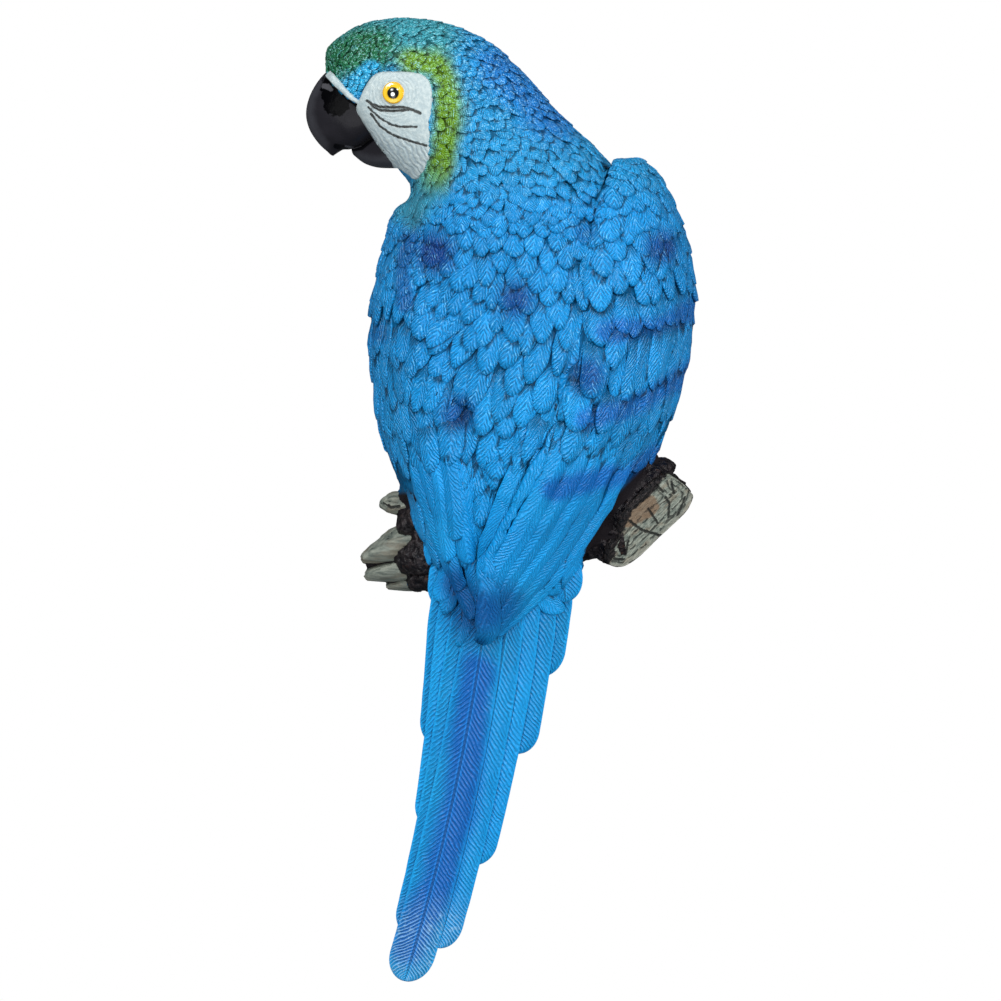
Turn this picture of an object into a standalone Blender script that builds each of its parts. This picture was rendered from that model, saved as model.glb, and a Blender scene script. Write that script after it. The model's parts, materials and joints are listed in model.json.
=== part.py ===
"""Wall-hung parrot figurine, cast in one piece with a flat back, perched on a broken log.

The bird shows its back, with the head turned in profile towards -X. The wall is the plane Y = 0,
the figurine stands out of it towards -Y, and +Z is up. All sizes below are millimetres, drawn for a
bird OUTLINE_HEIGHT tall and made FIGURE_HEIGHT tall; the hanging pocket keeps its own size.
"""

import math

import bmesh
import bpy
from mathutils import Vector
from mathutils.bvhtree import BVHTree

FIGURE_HEIGHT = 310.0
OUTLINE_HEIGHT = 310.0
ENLARGEMENT = FIGURE_HEIGHT / OUTLINE_HEIGHT
MM = 0.001 * ENLARGEMENT

# Head, neck and back: sections between two points of the outline seen from the front.
# Each row holds the crown or right-hand point (x, z), the throat or left-hand point (x, z),
# the outline's distance from the wall, and how far the section swells forward of the outline.
BACK_ROWS = (
    (-56.5, 141.0, -35.0, 109.5, 26.0, 13.0),
    (-56.0, 145.3, -33.0, 107.0, 26.0, 16.5),
    (-50.5, 149.8, -31.5, 105.0, 26.0, 18.8),
    (-42.0, 154.0, -30.0, 103.5, 26.0, 20.5),
    (-29.5, 155.0, -29.5, 102.5, 26.0, 22.0),
    (-16.0, 153.0, -29.0, 102.0, 26.0, 23.0),
    (-2.5, 146.5, -28.5, 101.0, 26.0, 24.0),
    (8.0, 136.5, -28.5, 99.5, 26.0, 26.0),
    (16.5, 126.5, -28.5, 98.0, 26.0, 29.0),
    (25.5, 117.5, -29.5, 96.0, 26.0, 32.0),
    (34.0, 109.0, -30.5, 93.5, 25.0, 35.0),
    (41.0, 96.0, -32.5, 88.0, 24.0, 39.0),
    (47.0, 80.0, -34.5, 77.5, 23.0, 42.0),
    (51.0, 61.0, -37.0, 61.0, 22.0, 43.5),
    (50.0, 42.0, -37.5, 43.0, 21.0, 43.0),
    (45.0, 22.5, -35.0, 24.0, 20.0, 41.0),
    (35.5, 3.0, -30.0, 7.0, 18.0, 37.5),
    (26.0, -14.5, -24.0, -11.0, 16.0, 33.0),
    (18.0, -29.0, -20.0, -29.0, 14.0, 26.0),
)
BACK_FULLNESS = 2.2
WALL_SWELL = 1.3
CASTING_TRIM = 2.0
HEAD_FIRST_ROW = 1.3
NECK_LAST_ROW = 10.0
HEAD_FEATHER_ROWS = 12
BACK_FEATHER_ROWS = 11
BACK_FEATHER_COUNT = 13
BACK_FEATHER_LIFT = 1.1
BACK_ROW_GROWTH = 1.04
BACK_BARE_ROWS = 0.6
BROW_SHRINK = 0.6
BROW_DEPTH = 2.4

# Wings: the outer point (x, z), the inner point (x, z), the outer edge's distance from the wall
# and the inner edge's distance from the wall.
RIGHT_WING_ROWS = (
    (44.8, 109.8, 36.5, 109.6, 31.0, 43.0),
    (50.8, 103.5, 33.5, 101.0, 28.0, 53.5),
    (56.5, 91.5, 31.0, 88.0, 26.0, 59.5),
    (61.0, 75.5, 28.5, 71.0, 25.0, 63.0),
    (61.8, 58.0, 24.5, 53.0, 24.0, 65.0),
    (59.3, 40.0, 20.0, 34.0, 23.0, 65.5),
    (54.5, 25.5, 15.5, 18.0, 22.0, 64.0),
    (48.5, 11.5, 9.0, 3.0, 21.0, 60.5),
    (39.0, -3.0, 1.5, -9.5, 21.0, 56.0),
    (29.0, -16.0, -4.5, -21.0, 24.0, 51.0),
    (16.5, -28.5, -8.5, -30.5, 29.0, 47.0),
    (5.5, -38.0, -9.5, -38.0, 33.0, 44.0),
    (-2.5, -43.5, -7.5, -43.0, 36.0, 41.0),
)
RIGHT_WING_FEATHER_ROWS = (0.9, 1.5, 2.1, 2.7, 3.3, 4.1, 5.4, 7.0, 9.0)
RIGHT_WING_FEATHER_COUNT = 7
LEFT_WING_ROWS = (
    (-32.5, 95.0, -29.5, 93.0, 31.0, 37.0),
    (-35.0, 88.0, -26.0, 85.0, 27.0, 49.0),
    (-37.5, 78.0, -22.5, 72.5, 25.0, 55.0),
    (-40.5, 64.5, -19.5, 57.0, 24.0, 60.0),
    (-42.0, 50.0, -17.0, 41.0, 23.0, 61.0),
    (-40.0, 34.0, -14.5, 25.5, 22.0, 60.0),
    (-38.0, 21.0, -12.0, 11.5, 21.0, 57.5),
    (-33.5, 8.0, -10.0, -1.5, 21.0, 54.0),
    (-28.5, -5.0, -8.5, -13.0, 22.0, 49.0),
    (-22.5, -17.5, -7.5, -24.0, 25.0, 44.0),
    (-17.0, -29.0, -8.0, -33.5, 29.0, 40.0),
    (-12.0, -37.0, -8.5, -38.5, 32.0, 37.0),
)
LEFT_WING_FEATHER_ROWS = (0.9, 1.5, 2.1, 2.8, 3.9, 5.2, 6.6, 8.4)
LEFT_WING_FEATHER_COUNT = 5
WING_FEATHER_LIFT = 1.2
WING_WRAP = 0.22
WING_THICKNESS = 7.0
WING_ROOT_SHARE = 0.45
WING_ROOT_DEPTH = 0.35
WING_HOLLOW_SHARE = 0.7
WING_HOLLOW = 0.6

FEATHER_FACET_COUNT = 4
FEATHER_OVERLAP = 0.55
EDGE_LIFT_SHARE = 0.2
UNDER_SHIFT = 0.15

# Tail feathers: root (x, z), tip (x, z), width, and steps down from the top feather.
TAIL_FEATHERS = (
    (-3.0, -24.0, -31.0, -155.2, 14.5, 0),
    (-9.0, -24.0, -29.0, -140.5, 13.0, 1),
    (4.0, -24.0, -20.5, -144.5, 12.5, 1),
    (-13.5, -24.0, -22.0, -106.0, 13.5, 2),
    (9.0, -24.0, -9.0, -117.5, 12.5, 2),
    (-16.0, -24.0, -20.0, -79.0, 13.5, 3),
    (13.5, -24.0, 5.0, -81.5, 12.5, 3),
    (17.5, -22.0, 12.5, -56.5, 14.0, 4),
    (-17.0, -18.0, -18.5, -34.5, 11.0, 4),
    (18.0, -12.0, 21.0, -32.5, 13.0, 3),
)
TAIL_ROOT_FRONT = 38.0
TAIL_TIP_FRONT = 11.0
TAIL_LAYER_STEP = 1.7
TAIL_FEATHER_THICKNESS = 4.5
TAIL_FEATHER_CAMBER = 1.4
TAIL_STATION_COUNT = 9
TAIL_CORE_INSET = 3.0
TAIL_CORE_TOP = -15.0

# Beak: outer edge (x, z), cutting edge (x, z) and half width of each section, base first.
HEAD_MIDDLE = 26.0
UPPER_BEAK_ROWS = (
    (-49.0, 141.0, -31.0, 122.0, 13.2),
    (-56.0, 137.5, -38.0, 118.0, 13.2),
    (-60.6, 131.5, -44.0, 114.5, 11.6),
    (-62.5, 125.0, -48.0, 113.0, 9.2),
    (-61.5, 119.5, -50.5, 112.8, 7.4),
    (-58.5, 114.8, -52.0, 112.0, 5.0),
    (-55.5, 112.0, -53.5, 111.0, 2.2),
)
LOWER_BEAK_ROWS = (
    (-31.0, 124.0, -31.5, 107.0, 11.5),
    (-39.5, 119.5, -38.5, 107.0, 9.6),
    (-44.0, 116.3, -43.5, 108.3, 6.4),
    (-47.5, 114.2, -47.0, 110.8, 3.4),
)
BEAK_FACET_COUNT = 14
BEAK_BASE_SQUARENESS = 3.0

# Bare face patch, seen from the front, and the eye on it.
FACE_OUTLINE = (
    (-44.0, 132.2), (-39.7, 136.3), (-34.0, 137.0), (-26.2, 136.3), (-22.7, 134.1), (-21.4, 129.6),
    (-22.3, 121.0), (-22.0, 111.6), (-23.3, 106.1), (-26.2, 102.6), (-32.0, 107.0), (-36.2, 107.8),
    (-38.6, 112.6), (-42.0, 119.0), (-43.8, 123.2), (-46.8, 126.8),
)
CERE_OUTLINE = (
    (-56.6, 138.6), (-50.0, 133.0), (-44.5, 129.6), (-42.5, 127.0), (-44.6, 125.2), (-49.0, 127.6),
    (-54.0, 132.4),
)
FACE_SEAT = 18.0
EYE_PLACE = (-34.0, 130.5)
EYE_DIAMETER = 7.0
EYE_PROUD = 1.5

# Log behind the bird: a core that lies against the wall, a sawn end and a broken end.
LOG_LEFT = (-27.0, -15.0)
LOG_RIGHT = (38.0, -3.0)
LOG_RADIUS = 15.0
LOG_CENTRE_FROM_WALL = 16.0
SAWN_END_CENTRE = (48.0, -19.0, -6.4)
SAWN_END_NORMAL = (0.71, -0.39, -0.59)
SAWN_END_OUTLINE = (
    (50.0, 5.1), (54.5, 7.4), (59.0, 5.1), (61.6, 2.6), (62.5, 1.0), (60.0, -3.9), (51.9, -11.6),
    (45.2, -18.0), (39.7, -21.5), (34.9, -20.3), (35.5, -15.1), (38.1, -12.2), (39.4, -7.1), (42.6, -2.3),
)
SAWN_END_LENGTH = 26.0
BARK_SPREAD = 1.07
WOOD_STANDOUT = 1.8
# Splinters of the broken end: root centre (x, z), root height, tip centre (x, z), tip height,
# front and back distance from the wall, and whether it is bark.
SPLINTERS = (
    (-29.0, -12.5, 14.0, -45.0, -18.6, 3.0, 27.0, 4.0, False),
    (-28.0, -20.5, 11.0, -43.8, -24.0, 3.6, 23.0, 3.0, False),
    (-27.0, -26.0, 6.0, -37.0, -27.5, 2.6, 18.0, 3.0, False),
    (-26.0, -5.5, 14.0, -33.5, -9.0, 8.0, 31.0, 5.0, True),
    (-23.0, -17.0, 19.0, -33.5, -18.5, 8.0, 32.0, 4.0, True),
    (-20.0, -23.5, 11.0, -30.0, -25.5, 6.5, 28.0, 3.0, True),
)
KNOT_CENTRE = (-32.5, -20.0, -0.8)
KNOT_SIZE = (6.8, 6.0, 4.0)
BARK_LUMP_CENTRE = (52.0, -18.0, 10.5)
BARK_LUMP_SIZE = (4.5, 9.0, 4.0)

# Hanging pocket in the flat back, for the head of a nail or screw.
POCKET_CENTRE = (8.0, 66.0)
POCKET_WIDTH = 9.0
POCKET_HEIGHT = 16.0
POCKET_DEPTH = 9.0
POCKET_ARC_COUNT = 8

# Finer shapes of the tail, the face, the eye and the log.
TAIL_BEND = 3.0
TAIL_LONGEST = 134.0
# Cross-section of a tail feather, left edge to right edge and back: share of the half width, and
# rise towards the front.
TAIL_SECTION = (
    (-1.0, 0.0), (-0.55, 1.3), (-0.12, 1.5), (0.0, 2.3), (0.12, 1.5), (0.55, 1.3), (1.0, 0.0),
    (0.7, -3.0), (-0.7, -3.0),
)
TAIL_CORE_SHORT_OF_TIP = 4.2
TAIL_CORE_RING_COUNT = 6
TAIL_CORE_BELOW = 5.0
TAIL_CORE_DRAFT = 0.22
FACE_RINGS = ((1.0, 0.9), (0.95, 1.5), (0.6, 1.6), (0.25, 1.6))
CERE_RINGS = ((1.0, 0.9), (0.8, 1.7))
EYE_PROFILE = (
    (1.05, -3.0), (1.1, 0.8), (1.0, 1.6), (0.84, 1.7), (0.78, 1.3), (0.6, 1.9), (0.25, 2.2),
)
EYE_FACET_COUNT = 14
SPLINTER_FACET_COUNT = 9
SPLINTER_ROUGHNESS = 0.12
LUMP_ROUGHNESS = 0.14
REACH = 200.0
WELD = 0.002
SHARP_ANGLE = 32.0


def clear_scene():
    for obj in list(bpy.data.objects):
        bpy.data.objects.remove(obj)


def make_material(name, colour, roughness):
    material = bpy.data.materials.new(name)
    material.use_nodes = True
    shader = material.node_tree.nodes["Principled BSDF"]
    shader.inputs["Base Color"].default_value = (*colour, 1.0)
    shader.inputs["Roughness"].default_value = roughness
    shader.inputs["Metallic"].default_value = 0.0
    material.diffuse_color = (*colour, 1.0)
    return material


def blend_rows(rows, place):
    """The row of numbers at a fractional place, on a smooth curve through all rows."""
    last = len(rows) - 1
    first = min(int(max(place, 0.0)), last - 1)
    t = place - first
    before, start = rows[max(first - 1, 0)], rows[first]
    end, after = rows[first + 1], rows[min(first + 2, last)]
    return tuple(
        0.5 * (2 * b + (c - a) * t + (2 * a - 5 * b + 4 * c - d) * t * t + (3 * b - a - 3 * c + d) * t**3)
        for a, b, c, d in zip(before, start, end, after)
    )


def rounded(value, power):
    return math.copysign(abs(value) ** power, value)


def back_point(across, along):
    """Head, neck and back. Across runs 0 to 1 over the front and 1 to 2 over the wall side."""
    ox, oz, ix, iz, wall, swell = blend_rows(BACK_ROWS, along)
    angle = math.pi * across
    side = rounded(math.cos(angle), 2 / BACK_FULLNESS)
    front = rounded(math.sin(angle), 2 / BACK_FULLNESS)
    x = (ox + ix) / 2 + (ox - ix) / 2 * side
    z = (oz + iz) / 2 + (oz - iz) / 2 * side
    distance = wall + swell * front if front >= 0 else wall * (1 + WALL_SWELL * front)
    return Vector((x, -max(distance, -CASTING_TRIM), z))


def wing_point(rows, across, along):
    """A wing's outer face. Across runs from 0 at its outer edge to 1 at its inner edge."""
    ox, oz, ix, iz, outer, inner = blend_rows(rows, along)
    angle = math.pi / 2 * across
    inward = 1 - math.cos(angle)
    distance = outer + (inner - outer) * math.sin(angle)
    return Vector((ox + (ix - ox) * inward, -distance, oz + (iz - oz) * inward))


def surface_normal(point, across, along):
    """The outward normal of a point(across, along) surface that faces the front."""
    step = 0.02
    side = point(across + step, along) - point(across - step, along)
    down = point(across, along + step) - point(across, along - step)
    normal = side.cross(down)
    return normal.normalized()


def outward(normal, reference):
    return normal if normal.dot(reference) > 0 else -normal


def scallop(phase):
    """A row of rounded feather tips: 0 between two feathers, 1 at a tip."""
    return math.sqrt(max(0.0, 1.0 - (2 * (phase % 1.0) - 1) ** 2))


def mesh_object(name, vertices, faces, material):
    mesh = bpy.data.meshes.new(name)
    mesh.from_pydata([tuple(v * MM for v in vertex) for vertex in vertices], [], faces)
    work = bmesh.new()
    work.from_mesh(mesh)
    bmesh.ops.remove_doubles(work, verts=work.verts, dist=0.00001)
    bmesh.ops.recalc_face_normals(work, faces=work.faces)
    bmesh.ops.triangulate(work, faces=work.faces)
    work.to_mesh(mesh)
    work.free()
    mesh.materials.append(material)
    obj = bpy.data.objects.new(name, mesh)
    bpy.context.scene.collection.objects.link(obj)
    return obj


def loft(name, rings, material):
    """A closed skin over rings of equally many points, with flat ends."""
    count = len(rings[0])
    vertices = [point for ring in rings for point in ring]
    faces = [
        (row * count + k, row * count + (k + 1) % count,
         (row + 1) * count + (k + 1) % count, (row + 1) * count + k)
        for row in range(len(rings) - 1)
        for k in range(count)
    ]
    faces.append(tuple(range(count)))
    faces.append(tuple((len(rings) - 1) * count + k for k in range(count)))
    return mesh_object(name, vertices, faces, material)


def feather_rings(point, closing, places, feathers, span, lift):
    """Pairs of rings for overlapping feather rows: a raised scalloped lip, and the skin below it."""
    rings = []
    first, last = span
    steps = feathers * FEATHER_FACET_COUNT
    for index, place in enumerate(places):
        following = places[index + 1] if index + 1 < len(places) else 2 * place - places[index - 1]
        reach = FEATHER_OVERLAP * (following - place)
        lip, under = [], []
        for k in range(steps + 1):
            share = k / steps
            across = first + (last - first) * share
            along = place + reach * scallop(share * feathers + 0.5 * (index % 2))
            spot = point(across, along)
            room = (point(across, following) - point(across, place)).length
            edge = min(1.0, EDGE_LIFT_SHARE + 4 * min(share, 1 - share))
            raised = edge * min(lift, 0.28 * room)
            normal = outward(surface_normal(point, across, along), spot - closing(place)[1])
            lip.append(spot + normal * raised)
            under.append(spot)
        rings.append(lip + closing(place)[0])
        rings.append(under + closing(place + UNDER_SHIFT * (following - place))[0])
    return rings


def spaced(first, last, count, growth):
    """Places from first to last whose spacing grows by a constant ratio."""
    weights = [growth**k for k in range(count - 1)]
    total = sum(weights)
    return [first + (last - first) * sum(weights[:k]) / total for k in range(count)]


def back_and_head(material):
    span = (-0.08, 1.08)
    wall_steps = 5

    def closing(along):
        wall_side = [
            back_point(span[1] + (2 - span[1] + span[0]) * (k + 1) / (wall_steps + 1), along)
            for k in range(wall_steps)
        ]
        ox, oz, ix, iz, wall, _ = blend_rows(BACK_ROWS, along)
        return wall_side, Vector(((ox + ix) / 2, -wall, (oz + iz) / 2))

    steps = BACK_FEATHER_COUNT * FEATHER_FACET_COUNT
    first = [back_point(span[0] + (span[1] - span[0]) * k / steps, 0.0) for k in range(steps + 1)]
    first += closing(0.0)[0]
    middle = sum(first, Vector()) / len(first)
    brow = Vector((BACK_ROWS[0][0], 0.0, BACK_ROWS[0][1]))
    throat = Vector((BACK_ROWS[0][2], 0.0, BACK_ROWS[0][3]))
    forwards = Vector((0.0, 1.0, 0.0)).cross(brow - throat).normalized()
    plain = [
        [middle + (spot - middle) * BROW_SHRINK - forwards * BROW_DEPTH for spot in first]
    ] + [
        [back_point(span[0] + (span[1] - span[0]) * k / steps, along) for k in range(steps + 1)]
        + closing(along)[0]
        for along in (0.0, 0.4, 0.9)
    ]
    head = spaced(HEAD_FIRST_ROW, NECK_LAST_ROW, HEAD_FEATHER_ROWS, 1.0)
    last = len(BACK_ROWS) - 1 - BACK_BARE_ROWS
    back = spaced(NECK_LAST_ROW, last, BACK_FEATHER_ROWS + 1, BACK_ROW_GROWTH)[1:]
    rings = plain + feather_rings(
        back_point, closing, head + back, BACK_FEATHER_COUNT, span, BACK_FEATHER_LIFT
    )
    end = len(BACK_ROWS) - 1
    rings.append(
        [back_point(span[0] + (span[1] - span[0]) * k / steps, end) for k in range(steps + 1)]
        + closing(end)[0]
    )
    return loft("back_and_head", rings, material)


def wing(name, rows, places, feathers, material):
    span = (-WING_WRAP, 1.0)

    def point(across, along):
        return wing_point(rows, across, along)

    def closing(along):
        ox, oz, ix, iz, outer, inner = blend_rows(rows, along)
        thin = min(WING_THICKNESS, 0.45 * (inner - outer) + 1.5)

        def between(share, distance):
            return Vector((ox + (ix - ox) * share, -distance, oz + (iz - oz) * share))

        under = [
            between(1.0, inner - thin),
            between(WING_HOLLOW_SHARE, (outer + inner) / 2 - WING_HOLLOW * thin),
            between(WING_ROOT_SHARE, outer * WING_ROOT_DEPTH),
        ]
        return under, between(0.5, 0.8 * outer)

    steps = feathers * FEATHER_FACET_COUNT

    def plain_ring(along):
        front = [point(span[0] + (span[1] - span[0]) * k / steps, along) for k in range(steps + 1)]
        return front + closing(along)[0]

    rings = [plain_ring(0.0), plain_ring(places[0] / 2)]
    rings += feather_rings(point, closing, list(places), feathers, span, WING_FEATHER_LIFT)
    end = len(rows) - 1
    rings += [plain_ring(end - 0.6), plain_ring(end)]
    return loft(name, rings, material)


def smooth_step(t):
    t = min(max(t, 0.0), 1.0)
    return t * t * (3 - 2 * t)


def tail_front(z):
    """How far the top tail feather stands from the wall at height z."""
    share = (z - TAIL_FEATHERS[0][3]) / (TAIL_FEATHERS[0][1] - TAIL_FEATHERS[0][3])
    return TAIL_TIP_FRONT + (TAIL_ROOT_FRONT - TAIL_TIP_FRONT) * min(max(share, 0.0), 1.0) ** 1.25


def tail_feather(name, root_x, root_z, tip_x, tip_z, width, layer, material):
    """A blade with a raised shaft, a cambered vane on each side and a rounded tip."""
    root = Vector((root_x, root_z))
    run = Vector((tip_x, tip_z)) - root
    length = run.length
    side = Vector((-run.y, run.x)).normalized()
    bend = TAIL_BEND * (length / TAIL_LONGEST) ** 2
    rings = []
    for k in range(TAIL_STATION_COUNT):
        from_tip = (1 - k / (TAIL_STATION_COUNT - 1)) ** 1.6
        share = 1 - from_tip
        centre = root + run * share + side * bend * 4 * share * from_tip
        tip_round = math.sqrt(max(0.0, 1 - max(0.0, 1 - from_tip * length / width) ** 2))
        half = width / 2 * (0.8 + 0.2 * smooth_step(3 * share)) * max(tip_round, 0.16)
        front = tail_front(centre.y) - layer * TAIL_LAYER_STEP
        section = []
        for across, rise in TAIL_SECTION:
            spot = centre + side * half * across
            section.append(Vector((spot.x, -(front + rise * min(1.0, half / 3)), spot.y)))
        rings.append(section)
    return loft(name, rings, material)


def tail_core(material):
    """The plain cast body under the tail feathers, narrower towards the wall."""
    rings = []
    longest_tip = min(row[3] for row in TAIL_FEATHERS)
    bottom = longest_tip + TAIL_CORE_SHORT_OF_TIP
    for k in range(TAIL_CORE_RING_COUNT):
        z = TAIL_CORE_TOP + (bottom - TAIL_CORE_TOP) * k / (TAIL_CORE_RING_COUNT - 1)
        sides = [
            feather_side(row, z, end)
            for row in TAIL_FEATHERS if row[3] < z or row[3] == longest_tip
            for end in (-1, 1)
        ]
        left, right = min(sides) + TAIL_CORE_INSET, max(sides) - TAIL_CORE_INSET
        depth = tail_front(z) - TAIL_CORE_BELOW
        draft = min(TAIL_CORE_DRAFT * depth, 0.25 * (right - left))
        rings.append([
            Vector((left + draft, CASTING_TRIM, z)), Vector((left, -depth, z)),
            Vector((right, -depth, z)), Vector((right - draft, CASTING_TRIM, z)),
        ])
    return loft("tail_core", rings, material)


def feather_side(row, z, end):
    """Where a tail feather's left (-1) or right (1) edge is at height z."""
    root_x, root_z, tip_x, tip_z, width, _ = row
    share = (z - root_z) / (tip_z - root_z)
    length = math.hypot(tip_x - root_x, tip_z - root_z)
    bend = TAIL_BEND * (length / TAIL_LONGEST) ** 2 * 4 * max(share, 0.0) * (1 - share)
    return root_x + (tip_x - root_x) * share + bend + end * width / 2


def beak_part(name, rows, material):
    """Oval sections between an outer edge and a cutting edge, base first and squarest."""
    rings = []
    for row, (ox, oz, ix, iz, half) in enumerate(rows):
        ring = []
        power = 2 / (2 + BEAK_BASE_SQUARENESS * (1 - row / (len(rows) - 1)) ** 2)
        for k in range(BEAK_FACET_COUNT):
            angle = math.tau * k / BEAK_FACET_COUNT
            swing = rounded(math.cos(angle), power)
            ring.append(Vector((
                (ox + ix) / 2 + (ox - ix) / 2 * swing,
                -HEAD_MIDDLE + half * rounded(math.sin(angle), power),
                (oz + iz) / 2 + (oz - iz) / 2 * swing,
            )))
        rings.append(ring)
    return loft(name, rings, material)


def head_surface():
    """A function that gives the distance from the wall of the plain head at (x, z)."""
    facets, places = 24, 24
    points = [
        back_point(k / facets, NECK_LAST_ROW * row / places)
        for row in range(places + 1) for k in range(facets + 1)
    ]
    width = facets + 1
    quads = [
        (row * width + k, row * width + k + 1, (row + 1) * width + k + 1, (row + 1) * width + k)
        for row in range(places) for k in range(facets)
    ]
    tree = BVHTree.FromPolygons([tuple(point) for point in points], quads)

    def front(x, z):
        for inward in range(8):
            hit = tree.ray_cast(Vector((x + inward, -REACH, z)), Vector((0.0, 1.0, 0.0)))[0]
            if hit:
                return hit.y
        return -HEAD_MIDDLE

    return front


def bare_skin(name, outline, steps, front, material):
    """Bare skin on the cheek: a plate that follows the head and stands a little proud of it."""
    middle_x = sum(x for x, _ in outline) / len(outline)
    middle_z = sum(z for _, z in outline) / len(outline)
    rings = [[Vector((x, -FACE_SEAT, z)) for x, z in outline]]
    for scale, proud in steps:
        ring = []
        for x, z in outline:
            px = middle_x + (x - middle_x) * scale
            pz = middle_z + (z - middle_z) * scale
            ring.append(Vector((px, front(px, pz) - proud, pz)))
        rings.append(ring)
    return loft(name, rings, material)


def eye(front, material):
    """A domed eye with a raised lid round it."""
    x, z = EYE_PLACE
    base = front(x, z) - FACE_RINGS[-1][1]
    rings = []
    for radius_share, height in EYE_PROFILE:
        radius = EYE_DIAMETER / 2 * radius_share
        ring = []
        for k in range(EYE_FACET_COUNT):
            angle = math.tau * k / EYE_FACET_COUNT
            ring.append(Vector((
                x + radius * math.cos(angle), base - height, z + radius * math.sin(angle)
            )))
        rings.append(ring)
    return loft("eye", rings, material)


def tube(name, start, end, start_radius, end_radius, facets, material, ripple=0.0, lobes=5):
    """A round or lobed bar between two points."""
    axis = (end - start).normalized()
    up = axis.cross(Vector((0.0, 1.0, 0.0))).normalized()
    across = up.cross(axis)
    rings = []
    for centre, radius in ((start, start_radius), (end, end_radius)):
        ring = []
        for k in range(facets):
            angle = math.tau * k / facets
            reach = radius * (1 + ripple * math.sin(lobes * angle))
            ring.append(centre + up * reach * math.cos(angle) + across * reach * math.sin(angle))
        rings.append(ring)
    return loft(name, rings, material)


def splinter(name, row, material):
    """A broken length of the log: a rough bar that narrows to a blunt, uneven end."""
    root_x, root_z, root_height, tip_x, tip_z, tip_height, front, back = row
    rings = []
    for share in (0.0, 0.45, 0.8, 1.0):
        x = root_x + (tip_x - root_x) * share
        z = root_z + (tip_z - root_z) * share
        half = (root_height + (tip_height - root_height) * share**1.5) / 2
        shrink = 0.22 * (front - back) * share**2
        ring = []
        for k in range(SPLINTER_FACET_COUNT):
            angle = math.tau * k / SPLINTER_FACET_COUNT
            rough = 1 + SPLINTER_ROUGHNESS * math.sin(5 * k + 7 * share + root_z)
            ring.append(Vector((
                x,
                -(front + back) / 2 + ((front - back) / 2 - shrink) * rough * math.sin(angle),
                z + half * rough * math.cos(angle),
            )))
        rings.append(ring)
    return loft(name, rings, material)


def lump(name, centre, size, material):
    """A rough knob on the log."""
    mesh = bpy.data.meshes.new(name)
    work = bmesh.new()
    bmesh.ops.create_icosphere(work, subdivisions=2, radius=1.0)
    for vertex in work.verts:
        spot = vertex.co
        rough = 1 + LUMP_ROUGHNESS * math.sin(9 * spot.x + 5 * spot.z) * math.cos(7 * spot.y)
        vertex.co = (Vector(centre) + Vector(spot * s * rough for spot, s in zip(spot, size))) * MM
    work.to_mesh(mesh)
    work.free()
    mesh.materials.append(material)
    obj = bpy.data.objects.new(name, mesh)
    bpy.context.scene.collection.objects.link(obj)
    return obj


def sawn_end(name, set_back, spread, material):
    """The sawn length of the log: the cut's outline, drawn back along the log's own axis."""
    centre = Vector(SAWN_END_CENTRE)
    axis = Vector(SAWN_END_NORMAL).normalized()
    outline = []
    for x, z in SAWN_END_OUTLINE:
        y = centre.y - (axis.x * (x - centre.x) + axis.z * (z - centre.z)) / axis.y
        outline.append(centre + (Vector((x, y, z)) - centre) * spread)
    rings = [
        [spot - axis * back for spot in outline]
        for back in (set_back, set_back + 0.45 * SAWN_END_LENGTH, SAWN_END_LENGTH)
    ]
    return loft(name, rings, material)


def log(wood, bark):
    """The log that crosses behind the bird, sawn at the right and broken off at the left."""
    left = Vector((LOG_LEFT[0], -LOG_CENTRE_FROM_WALL, LOG_LEFT[1]))
    right = Vector((LOG_RIGHT[0], -LOG_CENTRE_FROM_WALL, LOG_RIGHT[1]))
    pieces = [
        tube("log_core", left, right, LOG_RADIUS, LOG_RADIUS, 16, bark, 0.04),
        sawn_end("sawn_end", 0.0, 1.0, wood),
        sawn_end("sawn_end_bark", WOOD_STANDOUT, BARK_SPREAD, bark),
        lump("knot", KNOT_CENTRE, KNOT_SIZE, wood),
        lump("bark_lump", BARK_LUMP_CENTRE, BARK_LUMP_SIZE, bark),
    ]
    for number, row in enumerate(SPLINTERS, 1):
        pieces.append(splinter(f"splinter_{number}", row[:-1], bark if row[-1] else wood))
    return pieces


def box(name, low, high, material):
    (left, front, bottom), (right, back, top) = low, high
    vertices = [Vector((x, y, z)) for x in (left, right) for y in (front, back) for z in (bottom, top)]
    faces = [(0, 1, 3, 2), (4, 6, 7, 5), (0, 4, 5, 1), (2, 3, 7, 6), (0, 2, 6, 4), (1, 5, 7, 3)]
    return mesh_object(name, vertices, faces, material)


def pocket_cutter(material):
    """A blind slot with an arched top, cut into the flat back."""
    x, z = POCKET_CENTRE
    half = POCKET_WIDTH / ENLARGEMENT / 2
    tall = POCKET_HEIGHT / ENLARGEMENT
    low = z - tall / 2
    spring = z + tall / 2 - half
    outline = [(x - half, low), (x + half, low)]
    for k in range(POCKET_ARC_COUNT + 1):
        angle = math.pi * k / POCKET_ARC_COUNT
        outline.append((x + half * math.cos(angle), spring + half * math.sin(angle)))
    rings = [[Vector((px, y, pz)) for px, pz in outline] for y in (CASTING_TRIM, -POCKET_DEPTH / ENLARGEMENT)]
    return loft("pocket_cutter", rings, material)


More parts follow.
